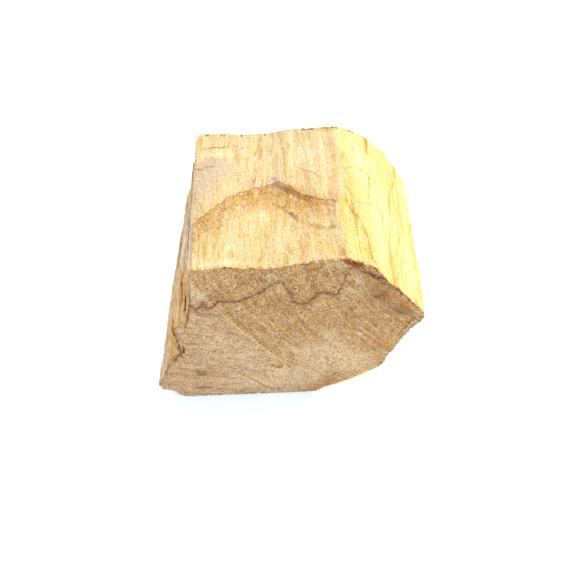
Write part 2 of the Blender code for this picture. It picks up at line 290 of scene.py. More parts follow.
def split_relief(points, weights):
    """Height in mm of the fibres and layers, and how sharply a layer ends at each point, from 0 to 1."""
    broad_fibre = lumps(points, BROAD_FIBRE, 4.1)
    fine_fibre = lumps(points, FINE_FIBRE, 9.7)
    height = np.zeros(len(points))
    edge = np.zeros(len(points))
    for face, depth in FIBRE_DEPTH.items():
        here = weights[face] > 0.0
        size = LAYER_WIDTH[face]
        hills = lumps(points[here], (size, size * LAYER_STRETCH, size), 2.3) * LAYERS_PER_HILL
        flakes = lumps(points[here], (size / 3, size * FLAKE_STRETCH, size / 3), 5.9)
        hills += flakes * FLAKES_PER_HILL
        part = hills - np.floor(hills)
        ramp = part - ease(*LAYER_DROP, part)
        fibre = depth * (BROAD_SHARE * broad_fibre[here] + FINE_SHARE * fine_fibre[here])
        height[here] += weights[face][here] * (fibre + LAYER_DEPTH[face] * (ramp - LAYER_MIDDLE))
        edge[here] += weights[face][here] * ease(*LAYER_EDGE, part)
    return height, edge


relief, _ = split_relief(points, weights)
print("split relief in mm:", round(float(relief.min()), 2), "to", round(float(relief.max()), 2))

# %% [markdown]
# ## Marks of the saw
#
# A saw leaves long scratches across the end grain. On the upper part of this front end they are arcs about
# a point to the upper right, and below the low step they run almost level, because the cut was made from
# two sides. The same two numbers, across and along the scratches, are stored on the mesh, so that the
# material can draw the finer scratches in the same direction.

# %% Scratches on the sawn ends
SAW_CENTRE = (76.0, 68.0)
STEP_FROM = np.array((-10.8, 44.3))
STEP_TO = np.array((9.7, 12.3))
STEP_BOW = 0.6
STEP_SOFT = 0.1
PAST_STEP_SOFT = 3.0
PAST_STEP_REACH = 5.0
LEVEL_TILT = math.radians(-15.0)
SCRATCH_DEPTH = 0.045
BROAD_SCRATCH = (0.9, 26.0, 1.0)
FINE_SCRATCH = (0.5, 17.0, 1.0)
FINE_SCRATCH_SHARE = 0.6
GRIT_DEPTH = 0.03
GRIT_SIZE = (0.7, 0.7, 0.7)


def saw_coordinates(points):
    """Distance in mm across and along the saw's scratches, and 1 above the low step or 0 below it."""
    x, _, z = points.T
    along_step = (STEP_TO - STEP_FROM) / np.linalg.norm(STEP_TO - STEP_FROM)
    above = -(x - STEP_FROM[0]) * along_step[1] + (z - STEP_FROM[1]) * along_step[0]
    past_end = (x - STEP_TO[0]) * along_step[0] + (z - STEP_TO[1]) * along_step[1]
    share = np.clip(1.0 + past_end / np.linalg.norm(STEP_TO - STEP_FROM), 0.0, 1.0)
    soft = STEP_SOFT + PAST_STEP_SOFT * ease(0.0, PAST_STEP_REACH, past_end)
    upper = ease(-soft, soft, above + 4.0 * STEP_BOW * share * (1.0 - share))
    dx, dz = x - SAW_CENTRE[0], z - SAW_CENTRE[1]
    radius = np.hypot(dx, dz)
    arc = np.arctan2(dz, dx) % math.tau * radius.mean()
    across_level = z * math.cos(LEVEL_TILT) - x * math.sin(LEVEL_TILT)
    along_level = x * math.cos(LEVEL_TILT) + z * math.sin(LEVEL_TILT)
    across = upper * radius + (1.0 - upper) * across_level
    along = upper * arc + (1.0 - upper) * along_level
    return across, along, upper


across, along, _ = saw_coordinates(points)
flat = np.stack((across, along, np.zeros(len(points))), axis=1)
scratches = lumps(flat, BROAD_SCRATCH, 1.7) + FINE_SCRATCH_SHARE * lumps(flat, FINE_SCRATCH, 6.4)
grit = lumps(points, GRIT_SIZE, 8.8)
relief += (weights["front"] + weights["back"]) * (SCRATCH_DEPTH * scratches + GRIT_DEPTH * grit)
print("deepest scratch in mm:", round(SCRATCH_DEPTH * float(-scratches.min()), 2))

# %% [markdown]
# ## Ragged edges
#
# Where a sawn end meets a split face, the saw pulled small crumbs out of the edge. Every point knows how
# far it is from the rim. Close to it, noise bites into both faces.

# %% Bites out of the rim
RIM_REACH = 1.1
BITE = 0.34
BROAD_BITE = (0.9, 2.0, 0.9)
FINE_BITE = (0.45, 1.2, 0.45)
FINE_BITE_SHARE = 0.5
CHIPPED_CALM = 0.75

bites = lumps(points, BROAD_BITE, 3.3) + FINE_BITE_SHARE * lumps(points, FINE_BITE, 7.2)
relief -= BITE * np.clip(bites, 0.0, 1.0) * ease(RIM_REACH, 0.0, rim)
relief *= 1.0 - CHIPPED_CALM * weights["chipped"]

points = points + normals * relief[:, None]
write_points(wood.data, points)
print("the relief goes from", round(float(relief.min()), 2), "to", round(float(relief.max()), 2), "mm")

# %% [markdown]
# ## Fewer triangles
#
# With the relief in it the mesh can be thinned, so that it stays quick to load. The Decimate modifier takes
# out the flattest places first. A vertex group keeps it away from the rims, where every crumb shows.

# %% Thin the mesh away from the rims
DENSE_RIM = 1.6
TRIANGLE_BUDGET = 192000

loose = wood.vertex_groups.new(name="away from the rims")
loose.add(np.nonzero(rim > DENSE_RIM)[0].tolist(), 1.0, "REPLACE")
thin = wood.modifiers.new("thinned", "DECIMATE")
thin.vertex_group = loose.name
thin.ratio = TRIANGLE_BUDGET / sum(len(p.vertices) - 2 for p in wood.data.polygons)
bpy.ops.object.modifier_apply(modifier=thin.name)
wood.vertex_groups.clear()
bpy.ops.object.shade_smooth()
points = read_points(wood.data)
normals = read_normals(wood.data)
weights, rim = face_weights(points, normals)
print("thinned to", len(wood.data.polygons), "triangles")

# %% [markdown]
# ## What the mesh remembers
#
# The material needs to know things that only the form can tell: how close the rim is, how deep in a cleft a
# point lies, for the painted shade in clefts, and where the marks are. They are stored as attributes, which
# travel with the mesh. A line is stored as the signed distance to it, and not as a colour, because a
# distance stays exact between two vertices, and so even a thin line is drawn sharp.


# %% Attributes and hollows
CLEFT_REACH = 2.5
OFF_SURFACE = 0.06


def store(name, *columns):
    """Stores one number per vertex, or two or three numbers as a vector."""
    kind = "FLOAT" if len(columns) == 1 else "FLOAT_VECTOR"
    attribute = wood.data.attributes.new(name, kind, "POINT")
    if len(columns) == 1:
        attribute.data.foreach_set("value", columns[0].astype(np.float32))
    else:
        full = list(columns) + [np.zeros(len(columns[0]))] * (3 - len(columns))
        attribute.data.foreach_set("vector", np.stack(full, axis=1).astype(np.float32).ravel())


def hollowness(points, normals):
    """1 where the opposite wall of a cleft is close, down to 0 where nothing is within reach."""
    tree = BVHTree.FromPolygons(points.tolist(), [tuple(p.vertices) for p in wood.data.polygons])
    starts = (points + normals * OFF_SURFACE).tolist()
    found = [tree.ray_cast(p, n, CLEFT_REACH)[3] for p, n in zip(starts, normals.tolist())]
    return np.array([0.0 if d is None else 1.0 - d / CLEFT_REACH for d in found])


store("rim", rim)
# How deep in a cleft each point lies, which drives the painted shade in clefts.
store("hollow", hollowness(points, normals))
height, edge = split_relief(points, weights)
store("height", height)
store("layer_edge", edge)
for name in ("top", "slope", "torn", "fresh", "chipped"):
    store(name, weights[name])
store("saw", *saw_coordinates(points))
print("stored so far:", [a.name for a in wood.data.attributes if not a.is_internal])

# %% [markdown]
# ## The marks on this chunk
#
# The zone line is the border that a fungus drew in the wood, so it is a surface in three dimensions. On the
# front end it is a zigzag at two thirds of the height. Deeper in the wood it drifts, and comes out again at
# the back end and along the left side. The other lines are stains, drying cracks and the edges of torn
# flakes, and two are painted light: a painted highlight along the low step of the front end, and a painted
# shadow in the gap under the upper left edge. Each is a short list of points with a strength, measured on
# its own face: across and up for the ends, across and along the grain for the top, down from the ridge and
# along the grain for the slope.

# %% Lines on the ends
ZONE_LINE = (
    (-13.0, 37.8, 0.7), (-11.2, 37.4, 1.0), (-10.2, 35.8, 1.0), (-9.2, 36.5, 0.9), (-8.3, 38.1, 1.0),
    (-7.4, 36.0, 1.0), (-6.4, 36.5, 1.0), (-5.1, 37.9, 1.0), (-2.3, 37.6, 1.0), (-0.6, 37.9, 1.0),
    (2.0, 39.4, 1.0), (4.2, 40.6, 1.0), (5.5, 42.2, 0.9), (7.1, 43.4, 0.5), (8.4, 44.3, 0.6),
    (9.2, 42.0, 0.6), (10.1, 40.0, 0.8), (10.9, 36.9, 1.0), (12.4, 36.1, 1.0), (14.2, 36.4, 1.0),
    (15.2, 38.4, 1.0), (16.6, 40.0, 0.9), (18.5, 39.5, 1.0), (20.2, 39.1, 1.0), (21.1, 41.7, 0.7),
    (21.5, 45.5, 0.6), (22.4, 46.9, 0.5), (23.4, 47.0, 0.5), (25.0, 46.2, 0.7), (26.8, 45.0, 1.0),
    (28.7, 43.3, 1.0), (30.2, 41.8, 0.5), (32.5, 39.5, 0.2), (36.0, 36.0, 0.1),
)
END_LINES = {
    # A painted highlight: the pale line where the edge of the low step catches the light.
    "ledge_highlight": (
        (-10.6, 44.0, 0.5), (-7.6, 39.0, 0.5), (-5.2, 34.9, 0.8), (-1.8, 29.2, 1.0), (1.2, 24.5, 1.0),
        (4.7, 19.4, 1.0), (9.4, 13.2, 0.7),
    ),
    "pale_scratch": (
        (-1.4, 37.4, 0.2), (-0.1, 35.2, 0.7), (4.9, 28.4, 0.8), (11.3, 18.7, 0.6), (13.4, 15.5, 0.0),
    ),
    "slab_crack": (
        (31.6, 34.0, 0.2), (33.0, 33.2, 0.7), (35.0, 31.9, 1.0), (37.0, 30.3, 1.0), (39.4, 28.6, 1.0),
    ),
    "slab_groove": ((37.9, 29.9, 0.8), (37.3, 28.8, 1.0), (36.4, 26.6, 0.8), (35.2, 24.0, 0.5)),
    "diagonal_crack": (
        (-2.2, 10.2, 0.4), (-1.4, 9.2, 0.9), (0.6, 7.6, 0.8), (2.6, 5.2, 0.9), (4.9, 3.0, 1.0),
        (5.6, 2.4, 0.3),
    ),
    "short_crack": ((20.2, 7.4, 0.5), (21.0, 8.1, 1.0), (22.6, 9.2, 0.6)),
    "left_crack": (
        (-11.0, 41.2, 0.6), (-11.1, 39.8, 1.0), (-11.3, 38.0, 1.0), (-11.5, 36.6, 0.9), (-11.8, 35.2, 0.9),
        (-12.2, 33.1, 1.0), (-12.5, 31.7, 0.9), (-12.9, 30.3, 1.0), (-13.4, 28.4, 0.6),
    ),
    "torn_edge": (
        (-12.2, 19.5, 0.4), (-13.5, 19.2, 0.8), (-14.8, 18.2, 0.9), (-16.2, 16.8, 0.9), (-17.1, 16.0, 1.0),
        (-18.4, 14.6, 0.9), (-19.2, 13.4, 0.8), (-20.2, 9.0, 0.4),
    ),
    "zone_branch": ((-11.4, 35.6, 0.8), (-10.2, 34.6, 0.9), (-8.6, 33.8, 0.7), (-6.8, 34.2, 0.3)),
    "edge_stain": (
        (22.4, 49.7, 1.0), (24.6, 47.6, 0.6), (26.9, 45.0, 1.0), (28.2, 44.3, 1.0), (29.6, 43.7, 0.9),
        (31.5, 42.4, 1.0), (32.9, 40.4, 1.0), (34.6, 38.0, 0.4), (37.0, 35.0, 0.3),
    ),
}

# %% Lines on the left side, the top and the slope
LOWER_LEDGE_LINES = {
    "ledge_cleft": (
        (-14.6, -0.4, 0.9), (-14.9, 0.1, 1.0), (-16.7, 4.6, 0.8), (-17.6, 7.0, 0.5), (-18.6, 10.0, 0.1),
    ),
}
UPPER_LEDGE_LINES = {
    "ledge_slit": (
        (-14.2, 16.0, 0.2), (-14.3, 15.1, 0.6), (-14.6, 13.7, 0.8), (-14.5, 12.5, 1.0), (-14.4, 10.6, 1.0),
        (-14.3, 8.8, 1.0), (-14.2, 7.1, 0.8), (-14.2, 6.0, 0.2),
    ),
}
WALL_LINES = {
    # A painted shadow: the dark band in the gap between the top's left edge and the outer layer below it.
    "upper_gap_shadow": (
        (23.4, 41.3, 0.3), (21.0, 41.7, 1.0), (18.0, 42.1, 1.0), (15.9, 42.4, 1.0), (13.0, 43.2, 0.3),
    ),
}
TOP_LINES = {
    "stain_arc": (
        (-11.5, 12.0, 0.3), (-9.9, 13.5, 0.4), (-7.7, 15.9, 0.7), (-5.4, 18.3, 0.7), (-3.3, 20.4, 0.7),
        (-1.1, 22.3, 0.6), (1.1, 23.1, 0.6), (3.4, 24.2, 0.7), (5.2, 24.3, 0.5), (7.0, 25.0, 0.6),
        (8.4, 26.0, 1.0), (9.6, 25.0, 1.0), (11.1, 23.6, 1.0), (12.8, 21.4, 1.0), (14.6, 19.9, 1.0),
        (17.4, 18.3, 0.9), (20.6, 17.5, 0.8), (22.0, 17.3, 0.5),
    ),
    "wedge": (
        (6.4, 24.4, 0.1), (8.0, 24.6, 0.9), (9.8, 23.7, 1.0), (11.6, 21.9, 1.0), (13.4, 19.9, 0.9),
        (15.6, 18.4, 0.2),
    ),
    "second_arc": (
        (7.6, 18.4, 0.3), (8.9, 17.5, 0.8), (9.4, 16.4, 0.6), (10.6, 15.2, 0.8), (12.1, 13.3, 1.0),
        (12.6, 12.8, 0.3),
    ),
    "third_arc": (
        (13.8, 11.9, 0.2), (14.8, 11.2, 0.7), (17.8, 9.3, 0.6), (20.6, 9.8, 0.7), (21.6, 10.4, 0.3),
    ),
    "corner_line": ((-8.8, 38.3, 0.5), (-6.4, 38.6, 1.0), (-4.2, 38.6, 0.9), (-2.7, 39.1, 0.3)),
    "tick": (
        (-10.2, 31.4, 0.9), (-9.4, 31.2, 1.0), (-8.5, 31.1, 0.6), (-8.2, 31.5, 0.1), (-7.8, 31.9, 0.9),
        (-6.8, 31.8, 1.0), (-6.3, 31.6, 0.3),
    ),
    "fine_line": (
        (13.5, 29.6, 0.4), (14.8, 28.6, 0.9), (15.7, 28.0, 0.9), (16.6, 27.1, 0.9), (17.8, 26.1, 0.4),
    ),
}
SLOPE_LINES = {
    "flake_long": (
        (20.3, 43.2, 0.5), (21.3, 40.9, 0.8), (19.2, 35.0, 0.9), (16.7, 29.4, 1.0), (15.6, 21.7, 1.0),
        (14.5, 16.2, 0.9), (13.0, 10.7, 0.9), (13.7, 3.9, 0.9), (14.2, 0.6, 0.8),
    ),
    "flake_short": (
        (0.9, 18.4, 0.7), (2.0, 17.4, 0.8), (2.9, 15.1, 1.0), (4.3, 13.0, 1.0), (5.3, 9.5, 1.0),
        (5.9, 3.0, 1.0), (7.4, 1.4, 1.0), (9.8, 0.6, 0.8),
    ),
    "flake_arc": (
        (1.4, 27.7, 0.4), (3.4, 29.4, 0.7), (6.0, 30.3, 0.8), (8.7, 30.0, 0.9), (9.2, 27.6, 0.6),
        (8.0, 25.6, 0.2),
    ),
    "flake_middle": (
        (1.8, 22.8, 0.7), (2.9, 20.8, 0.8), (4.2, 18.3, 0.5), (8.2, 19.5, 0.8), (11.3, 19.0, 0.8),
        (11.6, 15.1, 0.9), (12.3, 11.3, 0.6), (12.6, 8.0, 0.2),
    ),
    "back_dash": ((9.8, 43.8, 0.9), (9.4, 40.0, 0.9), (9.0, 36.4, 0.3)),
    "low_line": ((24.0, 37.0, 0.4), (24.6, 28.0, 0.6), (24.2, 18.0, 0.8), (24.8, 3.0, 0.8)),
}


# %% Distance from every point to a drawn line
def line_marks(u, v, line):
    """Signed distance in mm to a line of (u, v, strength) points, and the line's strength there."""
    nearest = np.full(len(u), np.inf)
    signed = np.zeros(len(u))
    strength = np.zeros(len(u))
    last = len(line) - 2
    for number, ((u0, v0, s0), (u1, v1, s1)) in enumerate(zip(line, line[1:])):
        du, dv = u1 - u0, v1 - v0
        length = math.hypot(du, dv)
        share = ((u - u0) * du + (v - v0) * dv) / length**2
        inside = np.clip(share, 0.0, 1.0)
        gap = np.hypot(u - u0 - inside * du, v - v0 - inside * dv)
        side = ((u - u0) * dv - (v - v0) * du) / length
        beyond = np.where(number == 0, np.maximum(0.0, -share), 0.0) * length
        beyond += np.where(number == last, np.maximum(0.0, share - 1.0), 0.0) * length
        off_end = beyond > 0.0
        here = gap < nearest
        nearest[here] = gap[here]
        signed[here] = np.where(off_end, side, np.where(side < 0.0, -gap, gap))[here]
        strength[here] = ((s0 + (s1 - s0) * inside) * ease(1.0, 0.0, beyond))[here]
    return signed, strength


# %% Put the lines on their faces
ZONE_DRIFT = (0.10, -0.16)
ZONE_WANDER = 0.16
ZONE_WANDER_SIZE = (14.0, 16.0, 14.0)
ZONE_ON_SIDE = 0.75
RIDGE_POINT = (21.8, 50.4)
LEDGE_LEFT_OF = -11.0
LOWER_LEDGE_Z = (15.6, 20.6)
UPPER_LEDGE_Z = (28.6, 33.0)
WALL_X = (-13.8, -9.5)
FACING_UP = (0.0, 0.4)
FACING_OUT = (0.5, 0.2)
LEFT_RIM_DEPTH = (2.6, 1.6)


def within(start, end, value):
    """1 from start to end in mm, falling to 0 within a millimetre on either side."""
    return ease(start - 1.0, start, value) * ease(end + 1.0, end, value)


x, y, z = points.T
down = np.hypot(x - RIDGE_POINT[0], z - RIDGE_POINT[1])
ends = weights["front"] + weights["back"]
left = weights["torn"] * (x < 0.0)
ledges = weights["torn"] * ease(*FACING_UP, normals[:, 2]) * (x < LEDGE_LEFT_OF)
walls = weights["torn"] * ease(*FACING_OUT, normals[:, 2]) * (x < WALL_X[1]) * (x > WALL_X[0])

depth = np.clip(y, 0.0, GRAIN_LENGTH)
wander = lumps(points, ZONE_WANDER_SIZE, 12.5) * ZONE_WANDER * depth
zone_u = x + ZONE_DRIFT[0] * depth
zone_v = z + ZONE_DRIFT[1] * depth + wander
signed, strength = line_marks(zone_u, zone_v, ZONE_LINE)
store("zone_line", signed, strength * np.clip(ends + ZONE_ON_SIDE * left, 0.0, 1.0))

line_sets = (
    (END_LINES, x, z, np.clip(weights["front"] + left * ease(*LEFT_RIM_DEPTH, y), 0.0, 1.0)),
    (LOWER_LEDGE_LINES, x, y, ledges * within(*LOWER_LEDGE_Z, z)),
    (UPPER_LEDGE_LINES, x, y, ledges * within(*UPPER_LEDGE_Z, z)),
    (WALL_LINES, y, z, walls),
    (TOP_LINES, x, y, weights["top"]),
    (SLOPE_LINES, down, y, weights["slope"]),
)
for lines, u, v, where in line_sets:
    for name, line in lines.items():
        signed, strength = line_marks(u, v, line)
        store(name, signed, strength * where)
print("lines stored:", 1 + sum(len(lines) for lines, *_ in line_sets))

# %% [markdown]
# ## Soft patches
#
# Resin, fungus and weather also tint the wood in soft patches. A patch is an ellipse: its place on its
# face, its two radii, how far it is turned in degrees, and its strength. The material breaks its outline up
# with noise, so no ellipse shows. Patches of one tint are added up in one attribute. The back end takes the
# patches of the front end, mirrored.

# %% Patches on the front end
FRONT_PATCHES = {
    "maroon": (
        (22.4, 49.4, 1.3, 0.9, -28, 1.5), (28.6, 37.9, 0.9, 0.7, 0, 0.8), (30.2, 39.2, 0.7, 0.8, 0, 0.7),
        (30.4, 36.6, 1.2, 0.6, -60, 0.7), (34.7, 34.9, 1.2, 0.5, -42, 0.6), (28.4, 40.8, 0.5, 0.5, 0, 0.5),
        (23.6, 47.8, 0.8, 0.5, -30, 1.0),
    ),
    "umber": (
        (0.4, 43.5, 0.9, 0.7, 20, 0.9), (-2.8, 41.0, 0.6, 0.5, 0, 0.9), (-4.7, 47.4, 0.8, 0.5, 0, 0.6),
        (13.2, 49.0, 0.6, 0.4, 0, 1.5), (15.0, 47.3, 1.4, 0.35, 8, 0.8), (14.0, 47.5, 3.0, 0.5, 10, 0.5),
        (19.8, 3.8, 5.4, 1.1, 24, 0.4), (27.8, 44.6, 1.4, 0.5, -40, 0.9), (-12.0, 11.2, 0.6, 1.5, 4, 1.1),
        (-10.7, 10.8, 0.6, 1.4, -4, 1.0), (-6.0, 9.8, 0.6, 0.9, 0, 0.8), (-11.5, 4.2, 2.4, 0.7, 3, 1.0),
        (-3.0, 5.4, 4.0, 0.4, 2, 0.7), (5.0, 24.0, 4.5, 2.2, -57, 0.4), (-9.2, 35.0, 1.6, 1.4, 0, 0.6),
        (-6.0, 33.4, 3.0, 1.0, 0, 0.4), (7.0, 41.0, 3.0, 1.5, 40, 0.3), (7.5, 12.4, 0.8, 0.5, 30, 1.2),
        (6.0, 13.2, 0.6, 0.5, -20, 0.9), (-18.4, 14.4, 1.4, 0.5, 40, 0.7), (-19.8, 10.5, 0.5, 2.4, 8, 0.5),
        (34.0, 33.0, 3.0, 1.6, -46, 0.6), (36.4, 32.4, 2.0, 0.6, -46, 0.6),
        (29.0, 40.4, 4.0, 2.0, -44, 0.6), (27.0, 36.0, 6.0, 4.0, -40, 0.45),
    ),
    "orange": (
        (33.2, 19.2, 1.6, 1.2, -46, 0.9), (31.0, 22.5, 6.0, 2.6, -46, 0.6), (7.1, 12.4, 1.5, 0.9, -30, 1.3),
        (14.0, 42.0, 5.0, 1.6, 0, 0.5), (-2.0, 42.0, 4.0, 3.0, 0, 0.3), (10.0, 24.0, 7.0, 3.0, -57, 0.4),
        (18.8, 2.8, 5.2, 1.1, 25, 1.5), (0.0, 8.0, 4.0, 1.0, -40, 0.4), (34.6, 35.2, 2.8, 1.2, -46, 1.3),
        (28.6, 41.4, 4.2, 1.5, -42, 1.0), (28.0, 33.0, 4.0, 3.0, -40, 0.5), (-9.2, 10.6, 2.2, 1.7, 0, 0.9),
        (-17.0, 15.6, 1.6, 0.4, 10, 0.7), (22.6, 49.0, 2.4, 1.0, -28, 0.8), (3.3, 9.1, 0.8, 0.6, 0, 0.9),
    ),
    "lilac": (
        (5.6, 45.6, 2.2, 0.8, 5, 0.9), (-7.0, 42.6, 1.2, 2.4, -30, 0.5), (24.2, 43.4, 1.5, 1.2, -40, 0.8),
        (32.6, 36.0, 0.8, 0.6, 0, 0.9), (22.6, 36.6, 1.0, 0.7, -20, 0.7), (1.2, 11.9, 1.9, 1.6, 0, 1.0),
        (16.9, 11.3, 1.6, 0.9, 0, 1.0), (33.0, 27.6, 1.6, 0.9, -50, 0.7), (-12.0, 13.0, 3.0, 0.8, 10, 0.4),
        (-3.4, 9.0, 2.6, 1.2, 10, 0.7), (13.2, 46.4, 1.0, 0.6, 0, 0.5), (21.8, 9.6, 1.8, 0.35, 38, 1.1),
        (12.0, 9.6, 2.2, 0.8, -20, 0.7), (-10.3, 43.0, 0.5, 4.0, 0, 0.9), (-15.0, 9.0, 4.0, 5.0, 0, 0.3),
        (4.4, 6.6, 1.4, 0.6, 0, 0.6), (-1.0, 34.8, 0.9, 0.5, -57, 1.2),
    ),
    "streaked": (
        (30.0, 21.5, 6.5, 2.6, -46, 1.4), (2.2, 31.6, 5.0, 1.3, -57, 0.45),
        (14.0, 21.0, 8.0, 3.0, -50, 0.3), (-3.0, 40.0, 6.0, 2.0, -57, 0.3),
    ),
    "pale": (
        (-6.0, 24.0, 9.0, 7.0, -50, 0.6), (-12.0, 13.2, 1.6, 0.8, 0, 0.5), (26.2, 13.4, 6.4, 3.4, -45, 1.2),
        (14.0, 6.4, 3.2, 2.6, 0, 1.0), (16.0, 14.6, 7.0, 4.0, -30, 0.9), (20.0, 24.0, 7.0, 5.0, -46, 0.6),
        (0.0, 16.0, 9.0, 4.0, 0, 0.4), (-4.0, 43.0, 5.0, 3.0, -40, 0.35), (29.0, 22.0, 4.0, 3.0, -46, 0.3),
        (3.6, 34.4, 1.2, 0.7, -57, 0.7), (-7.0, 5.0, 9.0, 2.0, 0, 0.3), (9.0, 9.0, 4.0, 3.0, -30, 0.8),
        (-9.3, 41.2, 3.2, 1.0, -57, 0.9), (2.0, 5.0, 8.0, 2.0, 2, 0.9), (-4.0, 8.0, 9.0, 2.0, 0, 0.6),
    ),
}

# %% Patches on the top, the slope and the left side
TOP_PATCHES = {
    "umber": (
        (12.0, 21.0, 4.6, 0.9, -42, 0.6), (17.5, 10.0, 3.6, 0.9, 0, 0.5), (11.0, 14.6, 1.8, 0.8, -42, 0.5),
        (-6.4, 41.6, 4.0, 2.6, 0, 0.3), (22.0, 36.0, 0.5, 7.0, -4, 0.3), (21.0, 27.0, 0.5, 4.0, -6, 0.3),
        (-9.6, 30.0, 0.8, 3.0, 0, 0.4), (2.4, 22.0, 2.4, 0.8, 12, 0.5),
    ),
    "orange": (
        (13.0, 17.0, 7.5, 5.0, -12, 0.7), (-4.0, 8.0, 6.5, 6.0, 0, 0.2), (-6.0, 16.0, 3.4, 2.0, 45, 0.5),
        (3.0, 20.0, 5.0, 2.6, 10, 0.6), (12.5, 5.0, 4.0, 3.6, 0, 0.35), (-2.0, 4.2, 0.8, 0.6, 0, 1.5),
        (16.7, 7.7, 0.7, 0.4, 0, 1.2), (19.5, 4.0, 2.4, 4.0, 0, 0.5), (20.4, 22.0, 1.2, 8.0, 0, 0.4),
        (12.0, 22.8, 3.4, 0.6, -42, 1.0), (18.0, 18.2, 3.4, 0.5, -14, 1.0), (2.0, 29.0, 7.0, 6.0, 0, 0.3),
        (21.8, 33.0, 1.0, 10.0, -3, 0.5), (20.6, 43.0, 1.8, 0.9, 0, 1.1), (-9.6, 41.0, 0.7, 2.6, 0, 0.9),
        (8.0, 43.6, 8.0, 0.6, 0, 0.6),
    ),
    "lilac": (
        (-8.0, 29.0, 4.0, 4.0, 0, 0.6), (-2.0, 31.0, 5.0, 4.0, 0, 0.3), (-10.3, 7.0, 0.4, 6.0, 0, 1.0),
        (19.6, 12.0, 0.8, 5.0, 0, 0.8), (7.8, 26.8, 1.3, 0.8, 0, 1.3), (3.1, 26.0, 0.9, 1.3, 0, 1.2),
        (-6.6, 32.6, 3.6, 2.4, 0, 0.7), (20.0, 18.0, 1.2, 2.6, 0, 0.6), (-7.5, 23.0, 4.0, 4.5, 0, 0.4),
        (9.6, 16.8, 1.4, 0.5, -42, 0.9),
    ),
    "pale": (
        (14.0, 33.0, 3.0, 6.0, 0, 0.7), (-6.0, 36.0, 4.4, 1.4, 0, 0.8), (0.0, 40.0, 3.0, 4.0, 0, 0.4),
        (1.0, 10.0, 3.6, 6.0, 10, 0.2), (5.0, 15.6, 2.6, 1.6, 0, 0.5), (19.2, 37.0, 0.5, 7.0, 2, 1.0),
        (-4.0, 1.8, 8.0, 0.8, 0, 0.6), (12.0, 1.6, 6.0, 0.8, 8, 0.4),
    ),
    "maroon": (
        (7.9, 26.5, 0.8, 0.6, 0, 1.2), (3.1, 26.2, 0.7, 1.0, 0, 0.9), (9.6, 17.0, 0.9, 0.4, -42, 0.9),
        (21.0, 3.0, 1.4, 2.6, 0, 0.5),
    ),
}
SLOPE_PATCHES = {
    "orange": (
        (3.0, 9.0, 1.2, 8.0, 4, 0.4), (5.0, 6.0, 0.8, 7.0, 6, 0.4), (9.4, 41.0, 0.7, 3.4, 0, 0.8),
        (9.0, 28.6, 1.8, 1.2, 0, 0.6), (16.0, 24.0, 0.7, 9.0, -8, 0.6), (25.5, 20.0, 1.0, 16.0, 0, 0.4),
        (14.2, 8.0, 0.8, 8.0, 4, 0.6), (20.6, 36.0, 0.8, 6.0, 12, 0.5),
    ),
    "pale": (
        (12.0, 22.0, 5.0, 14.0, 8, 0.8), (5.0, 35.0, 4.0, 8.0, 0, 0.8), (22.0, 10.0, 2.6, 9.0, 0, 0.7),
        (9.0, 8.0, 2.0, 8.0, 0, 0.6),
    ),
}
LEFT_PATCHES = {
    "orange": (
        (7.0, 30.4, 8.0, 1.4, 0, 1.1), (12.0, 18.0, 8.0, 3.4, 0, 0.9), (30.0, 34.0, 8.0, 4.0, 0, 0.5),
        (6.0, 12.0, 6.0, 3.0, 0, 0.3), (5.0, 34.0, 4.0, 3.0, 0, 0.6), (14.0, 26.0, 9.0, 2.6, 0, 0.7),
        (3.0, 15.5, 4.0, 2.4, 0, 0.5),
    ),
    "lilac": (
        (26.0, 30.4, 9.0, 2.0, 0, 0.8), (5.0, 46.6, 7.0, 1.0, 0, 1.1), (8.0, 11.5, 8.0, 3.4, 0, 0.5),
        (36.0, 20.0, 6.0, 5.0, 0, 0.6),
    ),
    "umber": (
        # The first patch here darkens the same gap under the upper left edge, as painted shadow.
        (16.0, 43.2, 7.0, 1.6, 0, 1.1), (30.0, 26.0, 10.0, 2.0, 0, 0.6), (4.0, 22.6, 5.0, 1.0, 0, 0.8),
        (18.5, 38.5, 4.0, 3.0, 0, 0.8),
    ),
    "pale": (
        (4.0, 29.8, 3.0, 0.8, 0, 0.8), (25.0, 29.0, 9.0, 2.0, 0, 0.6), (24.0, 14.0, 9.0, 2.0, 0, 0.7),
        (30.0, 37.0, 8.0, 2.0, 0, 0.5),
    ),
}

# %% [markdown]
# Three tints also follow the rim of the front end: red brown at the upper right, with a breath of dark
# brown further in, and orange where the fringe starts. Each has how far in it fades, where it begins across
# and up the end, and a strength.

# %% Put the patches on their faces
RIM_TINTS = {
    "maroon": ((1.0, 0.4), (20.0, 23.0), (31.0, 34.0), 0.9),
    "umber": ((3.4, 0.6), (22.0, 25.0), (29.0, 33.0), 0.2),
    "orange": ((0.6, 0.1), (-30.0, -25.0), (40.0, 44.0), 0.9),
}
MIRROR_WIDTH = 38.0
DARK_BELOW = (46.0, 43.0)
PATCH_FALL = 0.7
PATCH_LIMIT = 1.2


def patch_marks(u, v, patches):
    """Sum of soft ellipses at every point: 1 in the middle of a full one, fading out at twice its radii."""
    total = np.zeros(len(u))
    for u0, v0, radius_u, radius_v, turn, strength in patches:
        cos, sin = math.cos(math.radians(turn)), math.sin(math.radians(turn))
        du, dv = u - u0, v - v0
        reach = ((du * cos + dv * sin) / radius_u) ** 2 + ((dv * cos - du * sin) / radius_v) ** 2
        total += strength * np.exp(-PATCH_FALL * reach)
    return np.clip(total, 0.0, PATCH_LIMIT)


